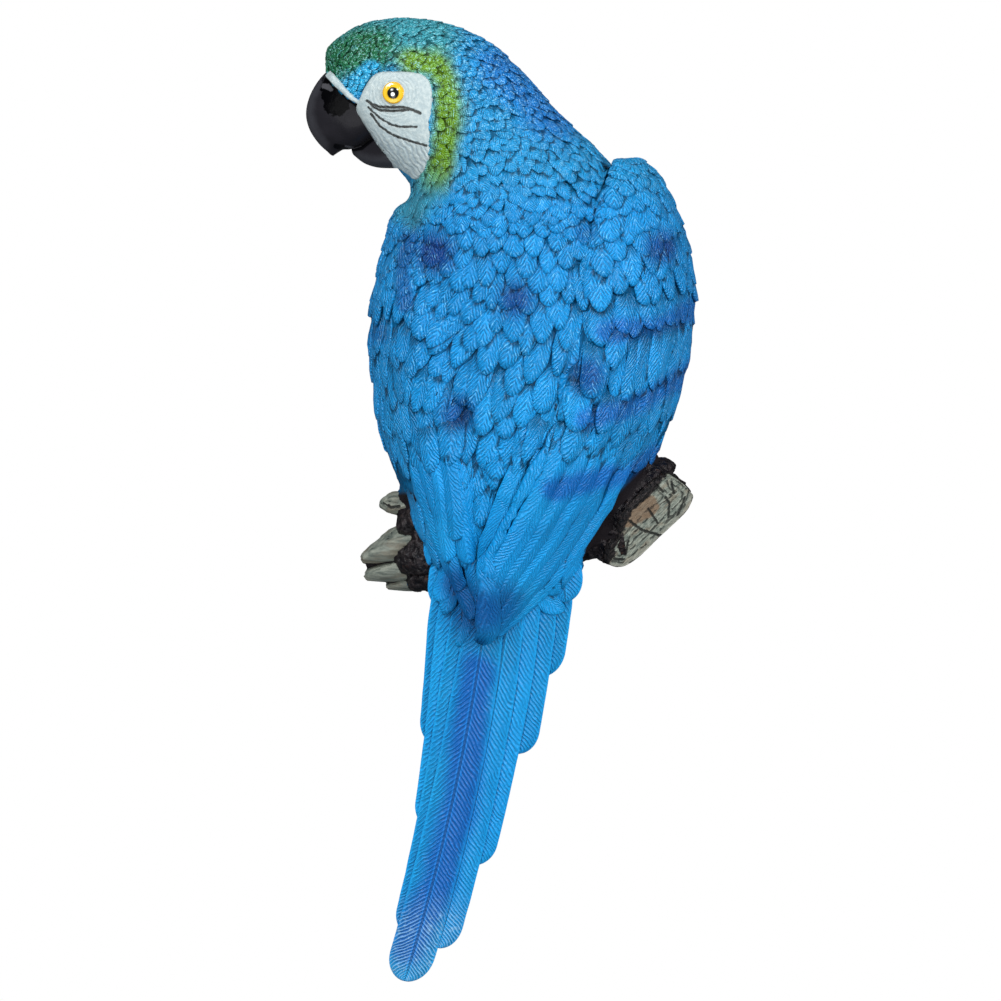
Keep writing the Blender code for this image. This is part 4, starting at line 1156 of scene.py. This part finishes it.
def splinter(name, row, paint):
    root_x, root_z, root_height, tip_x, tip_z, tip_height, front, back, barky = row
    middle, reach = -(front + back) / 2, (front - back) / 2
    rings = []
    for j in range(31):
        share = j / 30
        x = root_x + (tip_x - root_x) * share
        z = root_z + (tip_z - root_z) * share
        half = (root_height + (tip_height - root_height) * share**1.5) / 2
        end = math.sqrt(1 - max(0.0, (share - 0.93) / 0.07) ** 2 * 0.9)
        deep = (reach - 0.22 * (front - back) * share**2) * end
        ring = []
        for cos, sin in round_about(72):
            spot = Vector((x, middle + deep * sin, z + half * end * cos))
            if barky:
                lump = 0.9 * rough(spot, 2.6) + 0.4 * rough(spot, 1.2, 9.0)
            else:
                lump = 0.55 * noise.noise(Vector((x / 14, spot.y / 2.2, spot.z / 2.2)))
            ring.append(spot + Vector((0.6 * rough(spot, 2.0, 4.0), -sin * lump, cos * lump)))
        rings.append(ring)
    return loft(name, rings, paint)


def lump(name, centre, size, roughness, paint):
    rings = []
    for j in range(1, 32):
        polar = math.pi * j / 32
        ring = []
        for cos, sin in round_about(64):
            out = Vector((math.cos(polar), math.sin(polar) * cos, math.sin(polar) * sin))
            spot = Vector([c + s * o for c, s, o in zip(centre, size, out)])
            ring.append(spot + out * roughness * (rough(spot, 2.6) + 0.5 * rough(spot, 1.2, 3.0)))
        rings.append(ring)
    return loft(name, rings, paint)


def log_core(name, paint):
    left, right = (Vector(end) for end in LOG_ENDS)
    axis = (right - left).normalized()
    up = axis.cross(Vector((0.0, 1.0, 0.0))).normalized()
    across = up.cross(axis)
    rings = []
    for j in range(61):
        centre = left + (right - left) * j / 60
        ring = []
        for cos, sin in round_about(96):
            out = up * cos + across * sin
            spot = centre + out * LOG_RADIUS
            spot += out * (1.1 * rough(spot, 4.0) + 0.5 * rough(spot, 1.6, 2.0))
            spot.y = min(spot.y, -WALL_CLEARANCE)
            ring.append(spot)
        rings.append(ring)
    return loft(name, rings, paint)


# Paint

def operator(operation, reflected=False):
    """A method of Field that adds one step of shader maths."""
    def act(self, other=None):
        terms = (other, self) if reflected else (self, other)
        return self.paint.sum(operation, *(term for term in terms if term is not None))

    return act


class Field:
    """A number or colour that varies over a surface, used in sums like a plain number."""

    __add__, __radd__ = operator("ADD"), operator("ADD", True)
    __sub__, __rsub__ = operator("SUBTRACT"), operator("SUBTRACT", True)
    __mul__, __rmul__ = operator("MULTIPLY"), operator("MULTIPLY", True)
    __truediv__ = operator("DIVIDE")
    __abs__ = operator("ABSOLUTE")
    least, most, sine = operator("MINIMUM"), operator("MAXIMUM"), operator("SINE")

    def __init__(self, paint, socket):
        self.paint, self.socket = paint, socket

    def wave(self):
        return self.sine() * 0.5 + 0.5

    def clear(self):
        return self.least(1.0).most(0.0)

    def step(self, low, high):
        """0 at low and 1 at high, smoothly."""
        ends = {0: self, 1: low, 2: high}
        return self.paint.node("ShaderNodeMapRange", ends, interpolation_type="SMOOTHSTEP")


class Paint:
    """A painted surface; places are in millimetres, px and py in the units of the drawing."""

    def __init__(self, name, **settings):
        self.material = bpy.data.materials.new(name)
        self.material.use_nodes = True
        self.tree = self.material.node_tree
        self.shader = self.tree.nodes["Principled BSDF"]
        for key, value in settings.items():
            self.shader.inputs[key.replace("_", " ")].default_value = value
        here = self.node("ShaderNodeTexCoord", {}, "Object")
        self.here = self.node("ShaderNodeVectorMath", {0: here, 1: (1 / MM,) * 3}, operation="MULTIPLY")
        self.x, self.y, self.z = (self.part(self.here, k) for k in range(3))
        self.px = self.x / DRAWING_MM + DRAWING_MIDDLE[0]
        self.py = DRAWING_MIDDLE[1] - self.z / DRAWING_MM

    def node(self, kind, sockets, out=0, **settings):
        plain = {key: value.socket if isinstance(value, Field) else value for key, value in sockets.items()}
        return Field(self, add_node(self.tree, kind, plain, **settings).outputs[out])

    def put(self, key, value):
        self.tree.links.new(value.socket, self.shader.inputs[key])

    def sum(self, operation, *terms):
        return self.node("ShaderNodeMath", dict(enumerate(terms)), operation=operation)

    def part(self, vector, k):
        return self.node("ShaderNodeSeparateXYZ", {0: vector}, k)

    def mix(self, share, under, over):
        pair = [tint if isinstance(tint, Field) else (*tint, 1.0) for tint in (under, over)]
        return self.node("ShaderNodeMix", {0: share, 6: pair[0], 7: pair[1]}, 2, data_type="RGBA")

    def scaled(self, tint, factor):
        return self.node("ShaderNodeVectorMath", {0: tint, "Scale": factor}, operation="SCALE")

    def stretched(self, scales):
        return self.node("ShaderNodeVectorMath", {0: self.here, 1: scales}, operation="MULTIPLY")

    def grain(self, size, detail=2.0, stretch=(1.0, 1.0, 1.0), roughness=0.55):
        """Noise from 0 to 1, about half, with blots of the given size."""
        place = self.stretched(tuple(s / size for s in stretch))
        sockets = {"Vector": place, "Scale": 1.0, "Detail": detail, "Roughness": roughness}
        return self.node("ShaderNodeTexNoise", sockets)

    def cells(self, size):
        return self.node("ShaderNodeTexVoronoi", {"Vector": self.stretched((1 / size,) * 3), "Scale": 1.0})

    def kept(self, name, out="Fac"):
        return self.node("ShaderNodeAttribute", {}, out, attribute_name=name)

    def bump(self, height, distance):
        self.put("Normal", self.node("ShaderNodeBump", {"Distance": distance * MM, "Height": height}))

    def length(self, across, down):
        return self.sum("SQRT", across * across + down * down)

    def from_spot(self, x, y):
        """Distance on the drawing from a point."""
        return self.length(self.px - x, self.py - y)

    def from_line(self, points):
        """Distance on the drawing from a line through points."""
        nearest = None
        for (ax, ay), (bx, by) in zip(points, points[1:]):
            run = (bx - ax) ** 2 + (by - ay) ** 2
            along = ((self.px - ax) * ((bx - ax) / run) + (self.py - ay) * ((by - ay) / run)).clear()
            gap = self.length(self.px - ax - along * (bx - ax), self.py - ay - along * (by - ay))
            nearest = nearest.least(gap) if nearest else gap
        return nearest

    def near(self, line, ragged, far, full):
        """1 along a line of the drawing and 0 from far on, with a ragged edge."""
        return (self.from_line(line) + ragged).step(far, full)


def sprayed_blue(paint):
    """The airbrushed colour of the plumage with painted shade along the shoulder groove, without the feathers'
    own light and dark.
    """
    wander = (paint.grain(14.0, 3.0) - 0.5) * 14
    tint = paint.mix(paint.grain(28.0).step(0.35, 0.7) * 0.35, BASE_BLUE, PALE_BLUE)
    tint = paint.mix((paint.z * 0.012 + 0.35).clear() * 0.75, tint, SHOULDER_BLUE)
    tint = paint.mix(paint.near(TAIL_STRIPE, wander, 27.0, 8.0) * 0.9, tint, TAIL_BLUE)
    # Painted shade along the shoulder groove.
    tint = paint.mix(paint.near(SHOULDER_GROOVE, wander * 0.5, 12.0, 4.0) * 0.75, tint, GROOVE_SHADE_BLUE)
    for x, y, radius, strength in SPRAYED_SPOTS:
        gap = paint.from_spot(x, y) + wander
        tint = paint.mix(gap.step(radius * 1.8, radius * 0.3) * strength, tint, DEEP_BLUE)
    for stripe in SPRAYED_STRIPES:
        tint = paint.mix(paint.near(stripe, wander, 17.0, 4.0) * 0.92, tint, STRIPE_BLUE)
    return tint


def head_colours(paint, tint):
    wander = (paint.grain(9.0, 3.0) - 0.5) * 22
    tint = paint.mix(paint.py.step(*NECK_FADE) * 0.6, tint, NECK_BLUE)
    for line, far, full, strength, colour in HEAD_SPRAYS:
        tint = paint.mix(paint.near(line, wander, far, full) * strength, tint, colour)
    return paint.mix(paint.near(LORE_LINE, wander * 0.3, 13.0, 6.0), tint, LORE_BLUE)


def vane_lines(paint, spacing, slope, stray):
    """Barbs leaving the shaft, spacing apart: 0 to 1 across each, the millimetres off the shaft, u and v."""
    mark = paint.node("ShaderNodeUVMap", {}, uv_map="feather")
    size, spot = paint.kept("size", "Vector"), paint.kept("spot", "Vector")
    off = abs(paint.part(spot, 0)) * (paint.part(size, 0) * 1000)
    down = paint.part(spot, 1) * (paint.part(size, 1) * 1000)
    steep = slope + (paint.grain(6.0) - 0.5) * 2.0 * stray
    wander = (paint.grain(2.0, 2.0) - 0.5) * 1.1 * stray
    turns = ((down - off * steep) / math.hypot(1.0, slope) + wander) * (math.tau / spacing)
    return turns.wave(), off, paint.part(mark, 0), paint.part(mark, 1)


def plumage(name, spacing, slope, depth, root_shade, bold, head=False, tail=False):
    """Paint of one kind of feather: spacing, slope and depth of its barbs, how far up from the root
    the painted shade reaches, and how bold the painted highlight and shade of the barbs are."""
    paint = Paint(name, Roughness=0.34, IOR=1.4, Specular_IOR_Level=0.36)
    tint = sprayed_blue(paint)
    if head:
        tint = head_colours(paint, tint)
    lines, off, u, v = vane_lines(paint, spacing, slope, 0.35 if tail else 1.0)
    tone = paint.kept("tone")
    patches = paint.grain(2.2, 3.0).step(0.42, 0.6) * bold
    # Copies of the tint: a deep painted-shade copy, plus darker and lighter copies for random tone and for the
    # painted shade and highlights below.
    hollow_shade, darker = paint.scaled(tint, 0.13), paint.scaled(tint, 0.36)
    lighter = paint.mix(0.08, paint.scaled(tint, 1.5), BRUSHED_HIGHLIGHT_BLUE)
    tint = paint.mix(tone.step(0.6, 0.0) * 0.2, tint, darker)
    tint = paint.mix(tone.step(0.55, 1.0) * 0.3, tint, lighter)
    # Barbs: painted shade in their troughs, painted highlight on their ridges.
    tint = paint.mix(lines.step(0.34, 0.04) * (0.16 * bold + patches * 0.62), tint, darker)
    tint = paint.mix(lines.step(0.7, 0.95) * (0.1 * bold + patches * DRY_BRUSH_HIGHLIGHT), tint, lighter)
    glints = lines.step(0.75, 0.95) * paint.grain(1.8, 2.0).step(0.56, 0.66) * paint.py.step(*GLINTS_FADE)
    tint = paint.mix(glints * 0.55 * bold, tint, GLINT_BLUE)
    if head:
        # Head: random dark flecks in the painted-shade colour, and lighter flecks as painted sparkle highlight.
        speckle = paint.grain(0.8, 3.0, roughness=0.7)
        up = paint.py.step(*SPECKLE_FADE)
        tint = paint.mix(speckle.step(0.45, 0.36) * up * 0.7, tint, hollow_shade)
        sparkle_highlight = paint.mix(0.5, lighter, SPARKLE_HIGHLIGHT_BLUE)
        tint = paint.mix(speckle.step(0.55, 0.63) * (0.12 + up * 0.7), tint, sparkle_highlight)
    # Painted highlight along each feather's edges and tip.
    rim = abs(u - 0.5).step(0.42, 0.49).most(v.step(0.95, 1.0))
    tint = paint.mix(rim * (0.75 if tail else 0.15 + patches * 0.4), tint, lighter)
    if tail:
        # Tail: lighter towards its tip, as painted highlight on the barbs and in flecks.
        tip_highlight = lines.step(0.5, 0.85) * 0.5 + paint.grain(1.6, 3.0).step(0.52, 0.66) * 0.35
        tint = paint.mix(paint.py.step(*TIP_HIGHLIGHT_FADE) * tip_highlight, paint.scaled(tint, 0.9), TIP_HIGHLIGHT_BLUE)
        # The shaft: painted highlight beside it and painted shade along its middle.
        tint = paint.mix(off.step(1.1, 0.7) * 0.5, tint, lighter)
        tint = paint.mix(off.step(0.6, 0.3) * 0.8, tint, darker)
    else:
        # Painted shade near the root, where the feather above shadows it.
        tint = paint.mix(v.step(root_shade, root_shade * 0.45) * 0.6, tint, hollow_shade)
    # Painted shade where nearby feathers block the outlook.
    crease_shade = paint.kept("crease_shade").step(0.14, 0.6)
    paint.put("Base Color", paint.mix(crease_shade * (0.45 if tail else 0.8), tint, hollow_shade))
    paint.put("Roughness", 0.27 + paint.grain(1.4) * 0.2)
    ridge = off.step(0.6, 0.1) * 0.5
    paint.bump(lines * (1 - ridge) + ridge * 1.1 + paint.grain(0.8, 3.0) * 0.6, depth)
    return paint.material


def skin_paint():
    paint = Paint("skin paint", Roughness=0.6, Specular_IOR_Level=0.06)
    strokes = paint.grain(1.0, 3.0, (1.0, 1.0, 0.16))
    # The skin takes a darkened copy of the plumage colour: painted shade in the gaps between feathers.
    tint = paint.scaled(head_colours(paint, sprayed_blue(paint)), 0.24 + strokes.step(0.4, 0.64) * 0.2)
    log = paint.from_line(LOG_LEFT_LINE).least(paint.from_line(LOG_RIGHT_LINE)).step(46.0, 40.0)
    tint = paint.mix(log, tint, BEHIND_LOG_BLACK)
    tint = paint.mix(paint.from_line(BEHIND_BEAK_LINE).step(27.0, 24.0), tint, BEHIND_BEAK_BLACK)
    back = (paint.y + paint.grain(4.0) * 1.6).step(-1.4, -0.6)
    paint.put("Base Color", paint.mix(back, tint, paint.mix(paint.grain(3.0, 4.0), *BARE_RESIN)))
    paint.put("Roughness", 0.42 + back * 0.2)
    paint.bump(strokes * (1 - back) * 3.0 + paint.grain(0.9, 4.0), 0.14)
    return paint.material


def face_paint():
    paint = Paint("white face", Roughness=0.5)
    pits = paint.grain(1.1, 4.0, roughness=0.65)
    tint = paint.mix(pits.step(0.35, 0.7), *FACE_WHITES)
    low = (paint.py - paint.px * 0.28).step(20.0, 36.0)
    slant = paint.py * 0.55 - paint.px * 0.83
    folds = ((slant + (paint.grain(5.0) - 0.5) * 14) * 1.35).wave()
    tint = paint.mix(folds.step(0.5, 0.1) * low * 0.45, tint, FACE_SHADE)
    dark = None
    wander = (paint.grain(1.2) - 0.5) * 2.2
    for width, line in FACE_LINES:
        stroke = paint.near(line, wander, width + 0.7, width - 0.4)
        dark = dark.most(stroke) if dark else stroke
    tint = paint.mix(paint.from_line(BETWEEN_FIRST_LINES).step(3.2, 1.6) * 0.6, tint, FACE_GREY)
    tint = paint.mix(dark * 0.96, tint, FACE_BLACK)
    from_eye = paint.from_spot(*EYE_RINGS_MIDDLE)
    rings = ((from_eye + (paint.grain(4.0, 2.0) - 0.5) * 5) * (math.tau / 3.2)).sine()
    rings = rings * from_eye.step(34.0, 16.0) * (1 - low)
    paint.put("Base Color", tint)
    paint.put("Roughness", 0.5 + pits * 0.12)
    paint.bump(pits * 0.7 + folds * low * 0.8 + rings * 0.22 - dark * 0.9, 0.28)
    return paint.material


def beak_paint():
    paint = Paint("glossy black", Roughness=0.2, Specular_IOR_Level=0.05, Coat_Roughness=0.22)
    ragged = (paint.grain(1.6, 3.0) - 0.5) * 9
    # A near-black patch as painted reflection.
    deep = paint.near(BEAK_REFLECTED_DARK_LINE, ragged, 13.5, 12.0)
    # The beak's grey as painted sheen, lighter at the rims.
    sheen = paint.mix(paint.grain(6.0, 2.0), *BEAK_SHEEN_GREYS)
    rim = paint.from_line(BEAK_SHEEN_LINE) + ragged * 0.4
    rim = rim.least(paint.from_line(CHIN_SHEEN_LINE) + ragged * 0.3)
    sheen = paint.mix(rim.step(11.0, 2.0) * 0.6, sheen, BEAK_SHEEN)
    # Gleams on the beak and the gloss beside the line between its halves: painted highlights.
    gleam = paint.near(BEAK_GLEAM_LINE, ragged * 0.6, 3.4, 2.2)
    # Painted shade along the line between the beak's halves.
    mouth_shade = paint.near(MOUTH_LINE, ragged * 0.12, 3.4, 1.6)
    gloss = paint.from_line(MOUTH_GLOSS_LINE).step(1.3, 0.5)
    tint = paint.mix(deep, sheen, BEAK_REFLECTED_DARK)
    tint = paint.mix(mouth_shade * 0.9, tint, MOUTH_SHADE_BLACK)
    paint.put("Base Color", paint.mix(gleam.most(gloss) * 0.7, tint, BEAK_GLEAM))
    paint.put("Coat Weight", (1 - deep) * 0.06)
    paint.put("Roughness", 0.16 + paint.grain(1.6, 3.0) * 0.2)
    paint.bump(paint.grain(4.0, 3.0), 0.2)
    return paint.material


def eye_paint():
    paint = Paint("painted eye", Roughness=0.18, Coat_Weight=0.3, Coat_Roughness=0.06)
    gap = paint.from_spot(*IRIS_MIDDLE) + (paint.grain(1.0) - 0.5) * 1.0
    tint = paint.mix(gap.step(8.2, 10.6), *IRIS_YELLOWS)
    tint = paint.mix(gap.step(6.2, 5.4), tint, PUPIL_BLACK)
    paint.put("Base Color", paint.mix(paint.from_spot(*EYE_GLEAM_MIDDLE).step(2.3, 1.5), tint, EYE_GLEAM))
    paint.put("Roughness", 0.14 + paint.grain(0.8) * 0.12)
    paint.bump(paint.grain(0.9, 2.0), 0.03)
    return paint.material


def wood_paint():
    paint = Paint("weathered wood", Roughness=0.7)
    streaks = paint.grain(2.4, 4.0, (0.3, 1.5, 1.7))
    edge_gap = paint.from_line(CUT_EDGE) + (paint.grain(6.0) - 0.5) * 9
    on_cut = paint.x.step(30.0, 34.0)
    rings = (edge_gap * (math.tau / 5.6)).sine().step(0.35, 0.85) * edge_gap.step(40.0, 26.0)
    rings = rings * paint.grain(3.0, 2.0).step(0.42, 0.55) * on_cut
    tint = paint.mix(streaks.step(0.3, 0.72), *WOOD_GREYS)
    warm = paint.grain(5.0, 4.0, (0.5, 1.2, 1.2)).step(0.5, 0.66)
    tint = paint.mix(warm * 0.35, tint, WOOD_WARM)
    patch = paint.near(BROWN_PATCH_LINE, (paint.grain(3.0, 3.0) - 0.5) * 8, 13.0, 9.0)
    tint = paint.mix(patch * 0.8, tint, WOOD_BROWN)
    tint = paint.mix(on_cut, tint, paint.scaled(tint, 1.6))
    tint = paint.mix(edge_gap.step(7.0, 3.0) * on_cut * 0.6, tint, WOOD_EDGE)
    splits = (rings * 0.8).most(streaks.step(0.34, 0.27) * (1 - on_cut))
    ragged = (paint.grain(1.5) - 0.5) * 3.0
    for line in CRACKS:
        splits = splits.most(paint.near(line, ragged, 1.7, 0.5))
    tint = paint.mix(splits * 0.93, tint, WOOD_SPLIT)
    tint = paint.mix(streaks.step(0.66, 0.8) * 0.35, tint, WOOD_PALE)
    bark = paint.near(BARK_BORDER_LINE, (paint.grain(3.5, 3.0) - 0.5) * 14, 17.0, 14.5)
    dark = paint.mix(paint.grain(1.3, 4.0).step(0.45, 0.7), *WOOD_BARK)
    paint.put("Base Color", paint.mix(bark, tint, dark))
    paint.put("Roughness", 0.5 + streaks * 0.3)
    paint.bump(streaks * 1.2 + paint.grain(0.9, 3.0) * (0.3 + bark) - splits * 1.2, 0.7)
    return paint.material


def bark_paint():
    paint = Paint("dark bark", Roughness=0.6, Specular_IOR_Level=0.35)
    lumps = paint.grain(2.0, 5.0)
    tint = paint.mix(lumps.step(0.4, 0.7), *BARK_DARKS)
    tint = paint.mix(paint.grain(2.6, 3.0).step(0.6, 0.72) * 0.6, tint, BARK_RED)
    tint = paint.mix(paint.grain(1.1, 3.0).step(0.66, 0.72) * 0.5, tint, BARK_GREY)
    paint.put("Base Color", tint)
    paint.put("Roughness", 0.28 + lumps * 0.3)
    paint.bump(lumps + paint.cells(2.0) * 0.8, 1.2)
    return paint.material


# Building the bird

def build_plumage(skin):
    tree = laying_tree()
    scales = feather_kinds("scale", SCALE_ACROSS, SCALE_ALONG, SCALE_KINDS)
    coverts = feather_kinds("covert", COVERT_ACROSS, COVERT_ALONG, COVERT_KINDS)
    head_paint = plumage("head plumage", spacing=0.7, slope=1.6, depth=0.2, root_shade=0.6, bold=1.0, head=True)
    body_paint = plumage("body plumage", spacing=0.95, slope=1.9, depth=0.34, root_shade=0.62, bold=0.9, head=True)
    long_paint = plumage("flight plumage", spacing=0.85, slope=1.8, depth=0.2, root_shade=0.2, bold=0.55)
    tail_paint = plumage("tail plumage", spacing=1.15, slope=1.0, depth=0.3, root_shade=0.2, bold=0.75, tail=True)
    planted = (
        ("head_feathers", head_seeds(skin), scales, head_paint),
        ("mantle_feathers", mantle_seeds(skin), coverts, body_paint),
        ("right_wing_feathers", wing_seeds(skin, *RIGHT_WING), coverts, body_paint),
        ("left_wing_feathers", wing_seeds(skin, *LEFT_WING), coverts, body_paint),
        ("tail_coverts", tail_covert_seeds(skin), coverts, long_paint),
    )
    laid = [lay_feathers(name, seeds, skin, shapes, paint, tree) for name, seeds, shapes, paint in planted]
    flights = [long_feather(skin, points, width, lift) for points, width, lift in FLIGHTS]
    sizes = [(width, math.dist(points[0], points[-1]) * DRAWING_MM, 1.0) for points, width, _ in FLIGHTS]
    laid.append(join_sheets("flight_feathers", flights, long_paint, sizes))
    tail = [tail_feather(*row) for row in TAIL_FEATHERS]
    sizes = [(row[4], math.dist(row[0:2], row[2:4]), 1.0) for row in TAIL_FEATHERS]
    laid.append(join_sheets("tail_feathers", tail, tail_paint, sizes))
    mark_creases([*laid, skin.obj])
    for shelf in (scales, coverts):
        for obj in list(shelf.objects):
            bpy.data.objects.remove(obj)
        bpy.data.collections.remove(shelf)


def build_head(skin):
    head = HeadForm()
    black, white = beak_paint(), face_paint()
    beak_part("upper_beak", UPPER_BEAK_ROWS, black)
    beak_part("lower_beak", LOWER_BEAK_ROWS, black)
    plate("face_patch", FACE_OUTLINE, head, proud=1.3, wrinkle=0.18, paint=white)
    bead("beak_rim", BEAK_RIM_LINE, radius=1.25, skin=skin, paint=white)
    centre = head.seat(*EYE_PLACE)[0] + Vector((0.0, -1.1, 0.0))
    turned("eye", EYE_PROFILE, centre, Vector(EYE_FACING).normalized(), eye_paint())


def build_log():
    wood, bark = wood_paint(), bark_paint()
    sawn_end("sawn_end", set_back=0.0, spread=1.0, depth=6.0, roughness=0.3, paint=wood)
    sawn_end("sawn_end_bark", set_back=1.8, spread=1.05, depth=22.0, roughness=0.9, paint=bark)
    log_core("log_core", bark)
    for number, row in enumerate(SPLINTERS, 1):
        splinter(f"splinter_{number}", row, bark if row[-1] else wood)
    lump("knot", centre=(-32.5, -20.0, -0.8), size=(6.4, 5.6, 3.7), roughness=0.5, paint=wood)
    lump("bark_lump", centre=(52.0, -18.0, 10.0), size=(4.2, 8.5, 3.8), roughness=0.8, paint=bark)


skin = Skin(make_skin())
skin.obj.data.materials.append(skin_paint())
build_plumage(skin)
build_head(skin)
build_log()
settle(skin.obj)
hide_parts("parrot_figurine")

# Camera and light

def stand(name, data, place, turn):
    obj = bpy.data.objects.new(name, data)
    obj.location = place
    obj.rotation_euler = turn
    bpy.context.scene.collection.objects.link(obj)
    return obj


def soft_light(name, place, size, power):
    light = bpy.data.lights.new(name, "AREA")
    light.shape, light.size, light.energy = "DISK", size, power
    turn = (Vector(LIT_POINT) - Vector(place)).to_track_quat("-Z", "Y").to_euler()
    stand(name, light, place, turn)


def background(tree, colour, strength=1.0):
    return add_node(tree, "ShaderNodeBackground", {0: (*colour, 1.0), 1: strength}).outputs[0]


world = bpy.data.worlds.new("plain white")
world.use_nodes = True
bpy.context.scene.world = world
tree = world.node_tree
ray = add_node(tree, "ShaderNodeLightPath").outputs
around = {0: ray["Is Glossy Ray"], 1: background(tree, SOFT_WHITE, 0.5), 2: background(tree, MIRRORED_GREY)}
lighting = add_node(tree, "ShaderNodeMixShader", around).outputs[0]
views = {0: ray["Is Camera Ray"], 1: lighting, 2: background(tree, (1.0, 1.0, 1.0))}
seen = add_node(tree, "ShaderNodeMixShader", views).outputs[0]
tree.links.new(seen, tree.nodes["World Output"].inputs[0])

soft_light("window", place=(-0.7, -1.3, 1.1), size=0.5, power=22.0)
soft_light("high lamp", place=(0.6, -1.2, 1.1), size=0.25, power=7.0)
soft_light("front", place=(-0.5, -2.0, -0.7), size=1.5, power=17.0)
soft_light("side", place=(1.3, -1.0, 0.2), size=0.6, power=13.0)

camera = bpy.data.cameras.new("camera")
camera.sensor_width = SENSOR_MM
camera.lens = SENSOR_MM * FOCUS_DISTANCE / (DRAWING_UNITS * DRAWING_MM * MM)
camera.clip_start, camera.clip_end = 0.1, 20.0
place = (0.0, -FOCUS_DISTANCE - 0.025, 0.0)
bpy.context.scene.camera = stand("camera", camera, place, (math.radians(90), 0.0, 0.0))
bpy.context.scene.view_settings.view_transform = "Standard"
